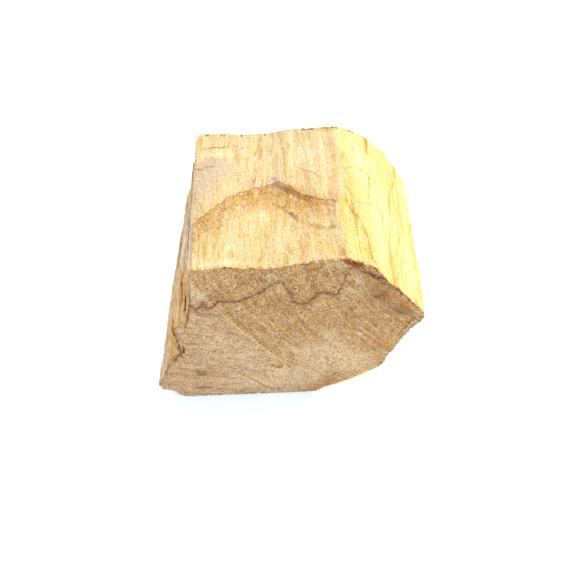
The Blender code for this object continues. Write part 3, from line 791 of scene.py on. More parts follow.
for tint in ("maroon", "umber", "orange", "lilac", "pale", "streaked"):
    back = weights["back"] * (ease(*DARK_BELOW, z) if tint in ("maroon", "umber") else 1.0)
    total = np.zeros(len(points))
    for patches, u, v, where in (
        (FRONT_PATCHES, x, z, weights["front"]),
        (FRONT_PATCHES, MIRROR_WIDTH - x, z, back),
        (TOP_PATCHES, x, y, weights["top"]),
        (SLOPE_PATCHES, down, y, weights["slope"]),
        (LEFT_PATCHES, y, z, left),
    ):
        total += patch_marks(u, v, patches.get(tint, ())) * where
    if tint in RIM_TINTS:
        inward, across_from, up_from, strength = RIM_TINTS[tint]
        near_rim = weights["front"] * ease(*inward, rim) * ease(*across_from, x) * ease(*up_from, z)
        total += near_rim * strength
    store(tint, total)
    print(tint, "covers", int((total > 0.5).sum()), "points")

# %% [markdown]
# ## Materials
#
# All of the chunk is raw wood with no finish on it, so it is matt, with a roughness near 0.8 and the IOR of
# cellulose, 1.53. What differs is how the surface was made. The sawn ends show the cut ends of the fibres:
# they are darker, grainy and full of pores. The split faces show the fibres lengthwise, as fine streaks.
# Both read the same place in the wood, in millimetres, so the two patterns meet at the edges as they do in
# real wood.
#
# Colours are given as sRGB hex values. One function turns them to the linear values that a shader works
# with. One more adds a node, with its settings and links.


# %% Colour and node helpers
CELLULOSE_IOR = 1.53
RAW_WOOD_SPECULAR = 0.3


def linear(hex_colour):
    """An sRGB colour such as #C8A878 as linear RGBA."""
    parts = [int(hex_colour[i : i + 2], 16) / 255 for i in (1, 3, 5)]
    return (*(c / 12.92 if c <= 0.04045 else ((c + 0.055) / 1.055) ** 2.4 for c in parts), 1.0)


def add(tree, kind, inputs, out=0, **settings):
    """Adds a node, sets it up, and gives its inputs values or links. Returns one of its outputs."""
    made = tree.nodes.new("ShaderNode" + kind)
    for name, value in settings.items():
        setattr(made, name, value)
    for name, value in inputs.items():
        if isinstance(value, bpy.types.NodeSocket):
            tree.links.new(value, made.inputs[name])
        else:
            made.inputs[name].default_value = value
    return made.outputs[out]


def new_material(name, roughness):
    """A matt wood material, its node tree and shader, and the place in the wood in millimetres."""
    material = bpy.data.materials.new(name)
    material.use_nodes = True
    tree = material.node_tree
    shader = tree.nodes["Principled BSDF"]
    shader.inputs["Roughness"].default_value = roughness
    shader.inputs["IOR"].default_value = CELLULOSE_IOR
    shader.inputs["Specular IOR Level"].default_value = RAW_WOOD_SPECULAR
    settings = {"Vector": add(tree, "TexCoord", {}, "Object"), "Location": tuple(-MEASURING_ZERO)}
    settings["Scale"] = (1.0 / MM,) * 3
    return material, tree, shader, add(tree, "Mapping", settings)


print("tan #C8A878 in linear:", [round(c, 3) for c in linear("#C8A878")])


# %% Patterns and masks
NOISE_MIDDLE = (0.3, 0.7)
PALER = 0.28
TINT_LUMPS = (1.3, 4.0, 1.3)


def pattern(tree, place, size, detail, rough, seed, out="Fac"):
    """Noise from 0 to 1 in the wood, with lumps of this size in mm along X, Y and Z."""
    scale = tuple(1.0 / s for s in size)
    shift = (seed, seed * 0.7, seed * 1.3)
    spot = add(tree, "Mapping", {"Vector": place, "Scale": scale, "Location": shift})
    return add(tree, "TexNoise", {"Vector": spot, "Scale": 1.0, "Detail": detail, "Roughness": rough}, out)


def spread(tree, value, low, high):
    """Stretches the middle of a noise to a new range."""
    settings = {"Value": value, "From Min": NOISE_MIDDLE[0], "From Max": NOISE_MIDDLE[1]}
    return add(tree, "MapRange", {**settings, "To Min": low, "To Max": high})


def masked(tree, value, low, high, strength=1.0):
    """A mask that rises smoothly from 0 at low to its strength at high."""
    settings = {"Value": value, "From Min": low, "From Max": high, "To Max": strength}
    return add(tree, "MapRange", settings, interpolation_type="SMOOTHSTEP")


def overlap(tree, *masks):
    """A mask for where all of these masks overlap."""
    shared = masks[0]
    for mask in masks[1:]:
        shared = add(tree, "Math", {0: shared, 1: mask}, operation="MULTIPLY", use_clamp=True)
    return shared


def mixed(tree, colour, layers):
    """Lays tints over a colour in turn: each layer is a mask, and an sRGB hex colour or a socket.

    A Mix node has its colours at inputs 6 and 7 and at output 2.
    """
    for mask, tint in layers:
        over = linear(tint) if isinstance(tint, str) else tint
        colour = add(tree, "Mix", {"Factor": mask, 6: colour, 7: over}, 2, data_type="RGBA")
    return colour


def varied(tree, colour, place, size, value, hue, saturation, seed):
    """Varies the value in grains of this size in mm, light ones being paler, and the tint in lumps."""
    grains = pattern(tree, place, size, 1.0, 0.7, seed)
    paler = spread(tree, grains, 1.0 + PALER * value, 1.0 - PALER * value)
    lighter = spread(tree, grains, 1.0 - value, 1.0 + value)
    colour = add(tree, "HueSaturation", {"Color": colour, "Saturation": paler, "Value": lighter}, "Color")
    drift = pattern(tree, place, TINT_LUMPS, 2.0, 0.6, seed + 2.0, "Color")
    warmer, deeper = add(tree, "SeparateColor", {0: drift}).node.outputs[:2]
    settings = {"Hue": spread(tree, warmer, 0.5 - hue, 0.5 + hue)}
    settings["Saturation"] = spread(tree, deeper, 1.0 - saturation, 1.0 + saturation)
    return add(tree, "HueSaturation", {"Color": colour, **settings}, "Color")


# %% [markdown]
# Lines and patches were stored on the mesh as plain numbers. Here they become masks: a line gets its width
# and a soft edge, wavers a little and breaks off in places, and a patch gets a ragged outline. The torn
# fringe along a rim and the bumps are made in the same way for both kinds of face.

# %% Masks for drawn lines, patches and the fringe, and the bumps
LINE_CORE = 0.25
TUFT_SIZE = (1.3, 1.3, 1.3)
TUFT_EDGE = (0.1, -0.15)
FRONT_HALF = (30.0, 14.0)
BUMP_STRENGTH = 0.7


def inked(tree, name, width, waver, breaks, strength):
    """A mask for a drawn line of this width in mm, which wavers and comes and goes as real marks do."""
    mark = add(tree, "Attribute", {}, "Vector", attribute_name=name)
    distance, shown = add(tree, "SeparateXYZ", {0: mark}).node.outputs[:2]
    moved = add(tree, "Math", {0: distance, 1: waver}, operation="ADD")
    off_line = add(tree, "Math", {0: moved}, operation="ABSOLUTE")
    return overlap(tree, masked(tree, off_line, width, width * LINE_CORE, strength), shown, breaks)


def blotched(tree, name, breaks, low, high, strength=1.0):
    """A mask for the soft patches of one tint, with an outline broken up by noise."""
    patch = add(tree, "Attribute", {}, "Fac", attribute_name=name)
    return masked(tree, overlap(tree, patch, breaks), low, high, strength)


def fringed(tree, place, shortest, longest, strength=1.0):
    """A mask for uneven tufts along the rims, between two lengths in mm."""
    rim = add(tree, "Attribute", {}, "Fac", attribute_name="rim")
    tufts = spread(tree, pattern(tree, place, TUFT_SIZE, 2.0, 0.7, 51.0), shortest, longest)
    return masked(tree, add(tree, "Math", {0: rim, 1: tufts}, operation="SUBTRACT"), *TUFT_EDGE, strength)


def towards_front(tree, place):
    """1 on the front part of the chunk, and falling to 0 behind its middle."""
    return masked(tree, add(tree, "SeparateXYZ", {0: place}, 1), *FRONT_HALF)


def finished(tree, shader, colour, depth, *heights):
    """Links the colour to the shader, and the sum of the heights as bumps of this depth in mm."""
    total = heights[0]
    for height in heights[1:]:
        total = add(tree, "Math", {0: total, 1: height}, operation="ADD")
    bump = add(tree, "Bump", {"Strength": BUMP_STRENGTH, "Distance": depth * MM, "Height": total})
    tree.links.new(colour, shader.inputs["Base Color"])
    tree.links.new(bump, shader.inputs["Normal"])


# %% [markdown]
# ### Sawn end grain
#
# End grain is a field of cut tubes. It scatters light deep into the tubes and so looks darker than the same
# wood cut along. At this size single pores are about 0.1 mm, too fine for a picture, so they are drawn at
# 0.2 to 0.4 mm. They are Voronoi cells, which have a crisp edge where noise is blurred. Scratches, stripes,
# dashes, smudges and bands lie along the path of the saw, as the mesh remembers it. Its third number only
# says above or below the step, so the third size of these patterns is large enough to leave it out.

# %% Noises on a sawn end
PORE_SIZE = (0.24, 2.0, 0.34)
PORE_SHIFT = (15.0, 10.5, 19.5)


def sawn_noises(tree, place):
    """Noises in the wood, noises along the scratches, and the waver and gaps of drawn lines."""
    spot = {"Vector": place, "Scale": tuple(1.0 / s for s in PORE_SIZE), "Location": PORE_SHIFT}
    pores = add(tree, "TexVoronoi", {"Vector": add(tree, "Mapping", spot), "Scale": 1.0}, "Color")
    saw = add(tree, "Attribute", {}, "Vector", attribute_name="saw")
    mottle = pattern(tree, place, (2.0, 12.0, 1.8), 3.0, 0.7, 5.0)
    return SimpleNamespace(
        broad=pattern(tree, place, (6.0, 30.0, 5.0), 3.0, 0.6, 1.0),
        mottle=mottle,
        flecks=pattern(tree, place, (0.5, 3.0, 0.5), 2.0, 0.75, 9.0),
        specks=pattern(tree, place, (0.7, 4.0, 0.7), 1.5, 0.6, 19.0),
        pores=add(tree, "SeparateColor", {0: pores}, 0),
        upper=add(tree, "SeparateXYZ", {0: saw}, 2),
        scratch=pattern(tree, saw, (0.34, 15.0, 50.0), 2.0, 0.7, 3.0),
        stripes=pattern(tree, saw, (0.5, 16.0, 50.0), 2.0, 0.6, 61.0),
        dashes=pattern(tree, saw, (0.7, 9.0, 50.0), 2.0, 0.7, 65.0),
        smudges=pattern(tree, saw, (1.3, 6.5, 50.0), 3.0, 0.7, 55.0),
        bands=pattern(tree, saw, (1.4, 40.0, 50.0), 1.5, 0.5, 7.0),
        waver=spread(tree, pattern(tree, place, (0.8, 5.0, 0.8), 3.0, 0.75, 21.0), -0.42, 0.42),
        shaky=spread(tree, pattern(tree, place, (0.6, 5.0, 0.6), 2.0, 0.6, 25.0), -0.14, 0.14),
        gaps=spread(tree, pattern(tree, place, (1.2, 5.0, 1.2), 2.0, 0.6, 71.0), -0.2, 1.4),
        breaks=spread(tree, mottle, 0.5, 1.1),
    )


# %% Ground, pores and scratches of a sawn end
def sawn_ground(tree, grain):
    """The end before any mark is drawn. Scratches show below the zone line, and dashes below the step."""
    lower = masked(tree, grain.upper, 0.6, 0.4)
    pale = add(tree, "Attribute", {}, "Fac", attribute_name="pale")
    darkest = add(tree, "Math", {0: pale, 1: -0.2, 2: 0.7}, operation="MULTIPLY_ADD")
    zone = add(tree, "SeparateXYZ", {0: add(tree, "Attribute", {}, "Vector", attribute_name="zone_line")}, 0)
    zone = add(tree, "Math", {0: zone, 1: grain.waver}, operation="ADD")
    sawn = overlap(tree, masked(tree, zone, -0.6, 1.6), spread(tree, grain.mottle, 0.2, 1.0))
    return mixed(tree, linear("#B48C54"), (
        (masked(tree, grain.broad, 0.42, 0.64, 0.7), "#9C723C"),
        (masked(tree, grain.broad, 0.46, 0.30, 0.6), "#BC9A68"),
        (masked(tree, grain.mottle, 0.50, 0.68, 0.6), "#C8A26A"),
        (masked(tree, grain.mottle, 0.48, 0.32, 0.6), "#8C6036"),
        (masked(tree, grain.upper, 0.6, 0.4, 0.5), "#C8AA8A"),
        (overlap(tree, lower, masked(tree, grain.dashes, 0.42, 0.28, 0.8)), "#946236"),
        (overlap(tree, lower, masked(tree, grain.dashes, 0.58, 0.72, 0.6)), "#DCC4A0"),
        (masked(tree, grain.smudges, 0.54, 0.66, 0.4), "#D2B48A"),
        (masked(tree, grain.smudges, 0.46, 0.34, 0.5), "#9C6A36"),
        (masked(tree, grain.bands, 0.54, 0.68, 0.3), "#C8A474"),
        (masked(tree, grain.bands, 0.46, 0.32, 0.3), "#8E6232"),
        (blotched(tree, "pale", grain.broad, 0.10, 0.50, 0.7), "#D6BA90"),
        (blotched(tree, "lilac", grain.mottle, 0.14, 0.50, 0.6), "#C8B3A2"),
        (masked(tree, grain.flecks, 0.56, 0.72, 0.3), "#E2C69C"),
        (masked(tree, grain.flecks, 0.44, 0.32, 0.6), "#8A5E34"),
        (masked(tree, grain.specks, 0.37, 0.30, 0.8), "#A8642A"),
        (masked(tree, grain.pores, 0.40, 0.0, darkest), "#724824"),
        (masked(tree, grain.pores, 0.70, 1.0, 0.35), "#E6D0A8"),
        (overlap(tree, masked(tree, grain.scratch, 0.55, 0.68, 0.75), sawn), "#D4B68A"),
        (overlap(tree, masked(tree, grain.scratch, 0.45, 0.33, 0.75), sawn), "#8A582A"),
    ))


# %% Marks on a sawn end
def sawn_marks(tree, grain, colour):
    """Streaks of resin, the darker patches, and the drawn lines with the zone line last."""
    streaked = blotched(tree, "streaked", grain.mottle, 0.10, 0.45)
    return mixed(tree, colour, (
        (overlap(tree, streaked, masked(tree, grain.stripes, 0.48, 0.36, 0.7)), "#A4682E"),
        (overlap(tree, streaked, masked(tree, grain.stripes, 0.54, 0.66, 0.6)), "#D2B084"),
        (blotched(tree, "orange", grain.mottle, 0.20, 0.50, 0.6), "#B87A3C"),
        (blotched(tree, "umber", grain.mottle, 0.12, 0.46, 0.7), "#7C532E"),
        (blotched(tree, "maroon", grain.mottle, 0.14, 0.46, 0.9), "#7E3414"),
        (inked(tree, "zone_line", 1.5, grain.waver, grain.breaks, 0.5), "#946842"),
        # Painted highlight along the edge of the low step.
        (inked(tree, "ledge_highlight", 0.26, 0.0, spread(tree, grain.flecks, 0.6, 1.0), 0.85), "#DCC290"),
        (inked(tree, "pale_scratch", 0.24, 0.0, grain.breaks, 0.9), "#D2B88C"),
        (inked(tree, "slab_crack", 0.22, grain.shaky, grain.breaks, 0.95), "#66361A"),
        (inked(tree, "slab_groove", 0.28, grain.shaky, grain.breaks, 0.9), "#56301C"),
        (inked(tree, "diagonal_crack", 0.36, grain.shaky, grain.breaks, 0.9), "#8C4E20"),
        (inked(tree, "short_crack", 0.32, grain.shaky, grain.breaks, 0.9), "#4E3A2C"),
        (inked(tree, "zone_branch", 1.1, grain.waver, grain.gaps, 0.75), "#80594A"),
        (inked(tree, "torn_edge", 0.40, grain.shaky, grain.breaks, 0.85), "#7A4A28"),
        (inked(tree, "left_crack", 0.34, grain.shaky, 1.0, 0.9), "#84461C"),
        (inked(tree, "edge_stain", 0.40, grain.shaky, grain.gaps, 1.0), "#44200E"),
        (inked(tree, "zone_line", 0.46, grain.waver, grain.breaks, 1.0), "#66382E"),
    ))


# %% Material of the sawn ends
def sawn_end_grain():
    """The whole material: ground, marks, small variation, the fringe, painted foot shadow, painted cleft
    shade.
    """
    material, tree, shader, place = new_material("palo santo, sawn end grain", 0.85)
    grain = sawn_noises(tree, place)
    colour = sawn_marks(tree, grain, sawn_ground(tree, grain))
    colour = varied(tree, colour, place, (0.17, 1.0, 0.17), 0.36, 0.008, 0.12, 13.0)
    fringe = overlap(tree, fringed(tree, place, -0.1, 0.5), spread(tree, grain.flecks, 0.9, 0.3))
    # Painted contact shadow: the end is darkened within about 0.7 mm of the floor, with a smudged upper
    # edge.
    height = add(tree, "SeparateXYZ", {0: place}, 2)
    foot = add(tree, "Math", {0: height, 1: spread(tree, grain.smudges, 0.0, 0.4)}, operation="ADD")
    hollow = add(tree, "Attribute", {}, "Fac", attribute_name="hollow")
    colour = mixed(tree, colour, (
        (overlap(tree, fringe, towards_front(tree, place)), "#925A2A"),
        # Painted contact shadow along the foot.
        (masked(tree, foot, 0.7, 0.3, 0.9), "#3E2E24"),
        # Painted shade in the clefts.
        (masked(tree, hollow, 0.1, 0.9, 0.75), "#4A2E1C"),
    ))
    finished(tree, shader, colour, 0.12, grain.scratch, grain.flecks)
    print(material.name, "has", len(tree.nodes), "nodes")
    return material


# %% [markdown]
# ### Split long grain
#
# Split faces show the fibres from the side. Palo santo is cream to straw in the fresh sapwood, which is the
# slope on the right, and tan to orange brown where old heartwood was torn, on the left. The top lies
# between. Three palettes share one set of noises and are mixed by the weights of the faces. The fibres lean
# a little, as they grew.

# %% Noises on the split faces
LEAN = (2.6, 0.0, 2.6)


def split_noises(tree, place):
    """Noises along the fibres, noises in the wood, and the waver and gaps of drawn lines."""
    lean = pattern(tree, place, (7.0, 13.0, 7.0), 1.0, 0.5, 31.0, "Color")
    lean = add(tree, "VectorMath", {0: lean, 1: (-0.5, -0.5, -0.5)}, operation="ADD")
    lean = add(tree, "VectorMath", {0: lean, 1: LEAN}, operation="MULTIPLY")
    fibres = add(tree, "VectorMath", {0: place, 1: lean}, operation="ADD")
    mottle = pattern(tree, place, (1.8, 4.0, 1.8), 3.0, 0.7, 6.0)
    return SimpleNamespace(
        broad=pattern(tree, fibres, (5.0, 24.0, 5.0), 2.0, 0.5, 4.0),
        streak=pattern(tree, fibres, (1.3, 20.0, 1.3), 4.0, 0.65, 2.0),
        fine=pattern(tree, fibres, (0.40, 6.5, 0.40), 3.0, 0.7, 8.0),
        mottle=mottle,
        flecks=pattern(tree, place, (0.42, 0.9, 0.42), 2.0, 0.75, 11.0),
        ragged=spread(tree, pattern(tree, place, (1.3, 1.3, 1.3), 3.0, 0.75, 23.0), -0.5, 0.5),
        gentle=spread(tree, pattern(tree, place, (1.2, 3.0, 1.2), 2.0, 0.6, 27.0), -0.25, 0.25),
        breaks=spread(tree, mottle, 0.5, 1.1),
    )


# %% The top, with its stain
STAIN_EDGE = (-0.12, 0.12)
STAIN_DEPTH = 9.0


def top_colour(tree, grain):
    """Tan wood, with a speckled stain that starts sharply at an arc and fades away from it."""
    arc = add(tree, "SeparateXYZ", {0: add(tree, "Attribute", {}, "Vector", attribute_name="stain_arc")}, 0)
    arc = add(tree, "Math", {0: arc, 1: grain.ragged}, operation="ADD")
    ahead = masked(tree, arc, *STAIN_EDGE)
    fading = masked(tree, arc, STAIN_DEPTH, 0.0, 0.55)
    stained = overlap(tree, fading, ahead, spread(tree, grain.mottle, 0.4, 1.3))
    return mixed(tree, linear("#D0B88A"), (
        (ahead, "#D4B982"),
        (masked(tree, grain.broad, 0.40, 0.62, 0.5), "#DCC58E"),
        (masked(tree, grain.streak, 0.50, 0.66, 0.6), "#E2CE9C"),
        (masked(tree, grain.streak, 0.50, 0.34, 0.5), "#C29C60"),
        (masked(tree, grain.fine, 0.56, 0.72, 0.5), "#E8D8AC"),
        (masked(tree, grain.fine, 0.46, 0.30, 0.6), "#A88048"),
        (blotched(tree, "pale", grain.streak, 0.10, 0.46, 0.8), "#E8D8AC"),
        (blotched(tree, "orange", grain.mottle, 0.10, 0.46, 0.7), "#C89A50"),
        (blotched(tree, "lilac", grain.mottle, 0.10, 0.42, 0.8), "#C4AC92"),
        (stained, "#B68646"),
        (overlap(tree, masked(tree, grain.flecks, 0.53, 0.40), stained), "#7C4E22"),
        (blotched(tree, "umber", grain.mottle, 0.12, 0.50, 0.9), "#8A6434"),
        (blotched(tree, "maroon", grain.mottle, 0.12, 0.40, 0.8), "#B0827A"),
        (inked(tree, "wedge", 1.2, grain.gentle, grain.breaks, 0.95), "#805828"),
        (inked(tree, "stain_arc", 0.40, grain.ragged, grain.breaks, 0.95), "#945426"),
        (inked(tree, "second_arc", 0.62, grain.ragged, grain.breaks, 1.0), "#7C3C2A"),
        (inked(tree, "third_arc", 1.0, grain.gentle, grain.breaks, 0.9), "#9A642C"),
        (inked(tree, "corner_line", 0.32, 0.0, 1.0, 0.9), "#9A6834"),
        (inked(tree, "tick", 0.34, grain.gentle, grain.breaks, 0.95), "#7E4E2A"),
        (inked(tree, "fine_line", 0.26, grain.gentle, grain.breaks, 0.9), "#A2763C"),
    ))


# %% The slope, of fresh sapwood
def slope_colour(tree, grain):
    """Straw yellow with soft streaks, and the orange edges of flakes that lifted as the wood split."""
    return mixed(tree, linear("#CAB66E"), (
        (masked(tree, grain.broad, 0.42, 0.62, 0.7), "#D4C47C"),
        (masked(tree, grain.streak, 0.54, 0.70, 0.6), "#DECE8C"),
        (masked(tree, grain.streak, 0.46, 0.30, 0.5), "#C4A85A"),
        (masked(tree, grain.fine, 0.44, 0.28, 0.4), "#B8984C"),
        (blotched(tree, "pale", grain.streak, 0.10, 0.46, 0.7), "#E0D492"),
        (blotched(tree, "orange", grain.mottle, 0.10, 0.46, 0.8), "#C49A44"),
        (inked(tree, "flake_long", 0.9, grain.gentle, grain.breaks, 0.35), "#C89C48"),
        (inked(tree, "flake_short", 0.8, grain.gentle, grain.breaks, 0.4), "#C08E38"),
        (inked(tree, "flake_long", 0.34, grain.gentle, grain.breaks, 0.7), "#B07C30"),
        (inked(tree, "flake_short", 0.30, grain.gentle, grain.breaks, 0.8), "#AA7228"),
        (inked(tree, "flake_arc", 0.60, grain.gentle, grain.breaks, 0.7), "#B4863A"),
        (inked(tree, "flake_middle", 0.44, grain.gentle, grain.breaks, 0.8), "#AC7A30"),
        (inked(tree, "back_dash", 0.6, grain.gentle, grain.breaks, 0.9), "#AE7A34"),
        (inked(tree, "low_line", 0.40, grain.gentle, grain.breaks, 0.85), "#AA7E38"),
    ))


# %% The torn sides
def torn_colour(tree, grain):
    """Grey tan to orange brown, with painted shade in the low places of the relief and painted highlight on
    its ridges.
    """
    height = add(tree, "Attribute", {}, "Fac", attribute_name="height")
    return mixed(tree, linear("#C8AC84"), (
        (masked(tree, grain.broad, 0.42, 0.60, 0.6), "#C09A64"),
        (masked(tree, grain.broad, 0.46, 0.32, 0.8), "#CFC0B2"),
        (masked(tree, grain.streak, 0.52, 0.66, 0.8), "#D8BC8C"),
        (masked(tree, grain.streak, 0.48, 0.34, 0.7), "#A0713A"),
        (masked(tree, grain.fine, 0.56, 0.70, 0.7), "#E2CCA4"),
        (masked(tree, grain.fine, 0.44, 0.30, 0.7), "#7E5630"),
        (blotched(tree, "pale", grain.streak, 0.10, 0.46, 0.8), "#E4D2A6"),
        (blotched(tree, "orange", grain.mottle, 0.10, 0.46, 0.65), "#D2A664"),
        (blotched(tree, "lilac", grain.mottle, 0.10, 0.50, 0.8), "#D8CABC"),
        (blotched(tree, "umber", grain.mottle, 0.12, 0.50, 0.9), "#6A4630"),
        # Painted shade in the low places of the relief, and a painted highlight on its ridges.
        (masked(tree, height, -0.10, -0.36, 0.5), "#84561F"),
        (masked(tree, height, 0.05, 0.22, 0.45), "#E0C89C"),
        (inked(tree, "zone_line", 0.6, grain.gentle, spread(tree, grain.streak, 0.0, 1.4), 0.8), "#5A3430"),
    ))


# %% Material of the split faces
def split_long_grain():
    """The three palettes mixed by face, then clefts, small variation, the fringe and painted shade in
    clefts.
    """
    material, tree, shader, place = new_material("palo santo, split long grain", 0.8)
    grain = split_noises(tree, place)
    slope = slope_colour(tree, grain)
    stored = {
        name: add(tree, "Attribute", {}, "Fac", attribute_name=name)
        for name in ("slope", "torn", "fresh", "layer_edge", "chipped", "hollow")
    }
    layer_edge = overlap(tree, stored["layer_edge"], grain.breaks)
    colour = mixed(tree, top_colour(tree, grain), (
        (stored["slope"], slope),
        (stored["torn"], torn_colour(tree, grain)),
        (stored["fresh"], mixed(tree, slope, ((0.55, "#D9C294"),))),
        (masked(tree, layer_edge, 0.2, 1.0, 0.45), "#B0803C"),
        # The chipped strip along the lower right edge: pale sapwood painted near white, partly its own
        # colour and partly a painted highlight for the light the floor throws up onto it.
        (stored["chipped"], "#F4E4BE"),
        (masked(tree, grain.flecks, 0.58, 0.72, 0.3), "#F0E4BC"),
        (masked(tree, grain.flecks, 0.42, 0.28, 0.45), "#9A6E3C"),
        (inked(tree, "ledge_cleft", 0.5, grain.gentle, 1.0, 0.7), "#7E5630"),
        (inked(tree, "ledge_cleft", 0.20, grain.gentle, 1.0, 1.0), "#2E1C12"),
        (inked(tree, "ledge_slit", 0.5, grain.gentle, 1.0, 0.5), "#9A5E28"),
        (inked(tree, "ledge_slit", 0.18, grain.gentle, 1.0, 0.9), "#4A3020"),
        (inked(tree, "left_crack", 0.34, grain.gentle, 1.0, 0.9), "#70401C"),
        # Painted shadow in the gap under the upper left edge.
        (inked(tree, "upper_gap_shadow", 1.7, grain.gentle, 1.0, 1.0), "#3E2C20"),
        (inked(tree, "torn_edge", 0.40, grain.gentle, 1.0, 0.8), "#7A4A28"),
    ))
    colour = varied(tree, colour, place, (0.18, 0.36, 0.18), 0.30, 0.008, 0.14, 17.0)
    share = overlap(tree, towards_front(tree, place), masked(tree, stored["torn"], 1.0, 0.4))
    fringe = overlap(tree, fringed(tree, place, 0.1, 0.6, 0.9), spread(tree, share, 0.0, 1.0))
    colour = mixed(tree, colour, (
        (fringe, "#C87E2A"),
        (overlap(tree, fringe, masked(tree, grain.flecks, 0.46, 0.36)), "#7E4214"),
        # Painted shade in the clefts.
        (masked(tree, stored["hollow"], 0.1, 0.9, 0.8), "#54341E"),
    ))
    finished(tree, shader, colour, 0.14, grain.streak, grain.fine, grain.flecks)
    print(material.name, "has", len(tree.nodes), "nodes")
    return material


# %% [markdown]
# ### Both on one mesh
#
# The wood has both materials, and every face takes one of them: the sawn one where its corners lie mostly
# on an end. The finished piece then rides on the part's only body and stands for its only node.

# %% Give the wood its materials
wood.data.materials.append(split_long_grain())
wood.data.materials.append(sawn_end_grain())
sawn = np.array([ends[list(p.vertices)].mean() > 0.5 for p in wood.data.polygons])
wood.data.polygons.foreach_set("material_index", sawn.astype(np.int32))
wood.data.update()
print("sawn faces:", int(sawn.sum()), "of", len(sawn))

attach(wood, "root")
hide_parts("wood_chunk")

# %% [markdown]
# ## Torn fibres
#
# A saw doesn't cut the last fibres at an edge cleanly but tears them, and splitting lifts long slivers out
# of the side faces. They are much too fine for the CAD part. One sliver is modelled from a cone: two cuts
# let it bend, and it is pressed flat. Over two thousand copies are laid along the grain, each with its own
# length, width, bend and tone, and joined in one mesh for the fringe of the ends and one for the split
# sides.

# %% One sliver, a unit long and a unit wide
bpy.ops.object.select_all(action="DESELECT")
bpy.ops.mesh.primitive_cone_add(vertices=5, radius1=0.5, radius2=0.07, depth=1.0, location=(0.0, 0.0, 0.5))
sliver = bpy.context.object
bpy.ops.object.mode_set(mode="EDIT")
for cut in (0.35, 0.7):
    bpy.ops.mesh.select_all(action="SELECT")
    bpy.ops.mesh.bisect(plane_co=(0.0, 0.0, cut), plane_no=(0.0, 0.0, 1.0))
bpy.ops.mesh.select_all(action="SELECT")
bpy.ops.transform.resize(value=(1.0, 0.5, 1.0))
bpy.ops.object.mode_set(mode="OBJECT")
bpy.ops.object.transform_apply(location=True, rotation=True, scale=True)
sliver_points = np.array([tuple(v.co) for v in sliver.data.vertices])
sliver_faces = [tuple(p.vertices) for p in sliver.data.polygons]
bpy.data.objects.remove(sliver)
print("a sliver has", len(sliver_points), "points")


# %% Lay slivers on the wood
DICE_SEED = 11
LEAST_CHANCE = 0.05
dice = np.random.default_rng(DICE_SEED)


def lay_slivers(name, roots, outward, along, length, width, bend, tone):
    """Joins one bent copy of the sliver per root in a new mesh, in the part's frame."""
    side = np.cross(along, outward)
    side /= np.linalg.norm(side, axis=1)[:, None]
    up = np.cross(side, along)
    x, y, z = sliver_points.T
    lift = bend[:, None] * length[:, None] * z**2
    laid = roots[:, None, :] + side[:, None, :] * (width[:, None] * x)[..., None]
    laid += up[:, None, :] * (width[:, None] * y + lift)[..., None]
    laid += along[:, None, :] * (length[:, None] * z)[..., None]
    count = len(sliver_points)
    faces = [
        tuple(v + number * count for v in face)
        for number in range(len(roots))
        for face in sliver_faces
    ]
    mesh = bpy.data.meshes.new(name)
    mesh.from_pydata(laid.reshape(-1, 3).tolist(), [], faces)
    write_points(mesh, laid.reshape(-1, 3))
    attribute = mesh.attributes.new("tone", "FLOAT", "POINT")
    attribute.data.foreach_set("value", np.repeat(tone, count).astype(np.float32))
    obj = bpy.data.objects.new(name, mesh)
    bpy.context.scene.collection.objects.link(obj)
    print(name, "has", len(roots), "slivers and", len(faces), "faces")
    return obj


def uneven(values, contrast, middle):
    """A chance that follows the values about its middle, and never falls to nothing."""
    return np.clip(values * contrast + middle, LEAST_CHANCE, 1.0)


def picked(chance, count):
    """Vertices of the wood drawn by chance, without repeats."""
    return dice.choice(len(points), size=count, replace=False, p=chance / chance.sum())


def grain_directions(rooted, forward, lean, scatter):
    """Unit directions along the grain that lean off the surface and scatter along X, Y and Z."""
    along = np.zeros((len(rooted), 3))
    along[:, 1] = forward
    along += normals[rooted] * dice.uniform(*lean, len(rooted))[:, None]
    along += dice.normal(size=(len(rooted), 3)) * scatter
    return along / np.linalg.norm(along, axis=1)[:, None]


# %% [markdown]
# ### The fringe of the ends
#
# It is thick along the top, thinner on the slope and high on the left side, and rare anywhere else. Its
# slivers stay inside the box of the CAD part, so none is longer than the room in front of it or behind it.

# %% Fringe of the ends
FRINGE_COUNT = 1800
FRINGE_RIM = 0.35
FRINGE_SPLIT = 0.3
FRINGE_TUFT = (1.4, 1.4, 1.4)
FRINGE_BURIED = 0.15
FRINGE_SUNK = 0.04
FRINGE_LEAN = (-0.15, 0.1)
FRINGE_SCATTER = (0.35, 0.105, 0.35)
FRINGE_LENGTH = (0.2, 1.0)
FRINGE_WIDTH = (0.06, 0.20)
FRINGE_BEND = (-0.3, 0.1)
FRINGE_TONE = (0.1, 0.8)
PALER_BEHIND = 0.5
SLOPE_SHARE = 0.6
LEFT_SHARE = 0.4
LEFT_OF = -8.0
HIGH_ON_LEFT = 24.0
RARE = 0.02
FOOT_HEIGHT = 5.0
MIDDLE_Y = 20.0
FRONT_LIMIT, BACK_LIMIT = (CAD_BOX[side][1] / MM - MEASURING_ZERO[1] for side in (0, 1))

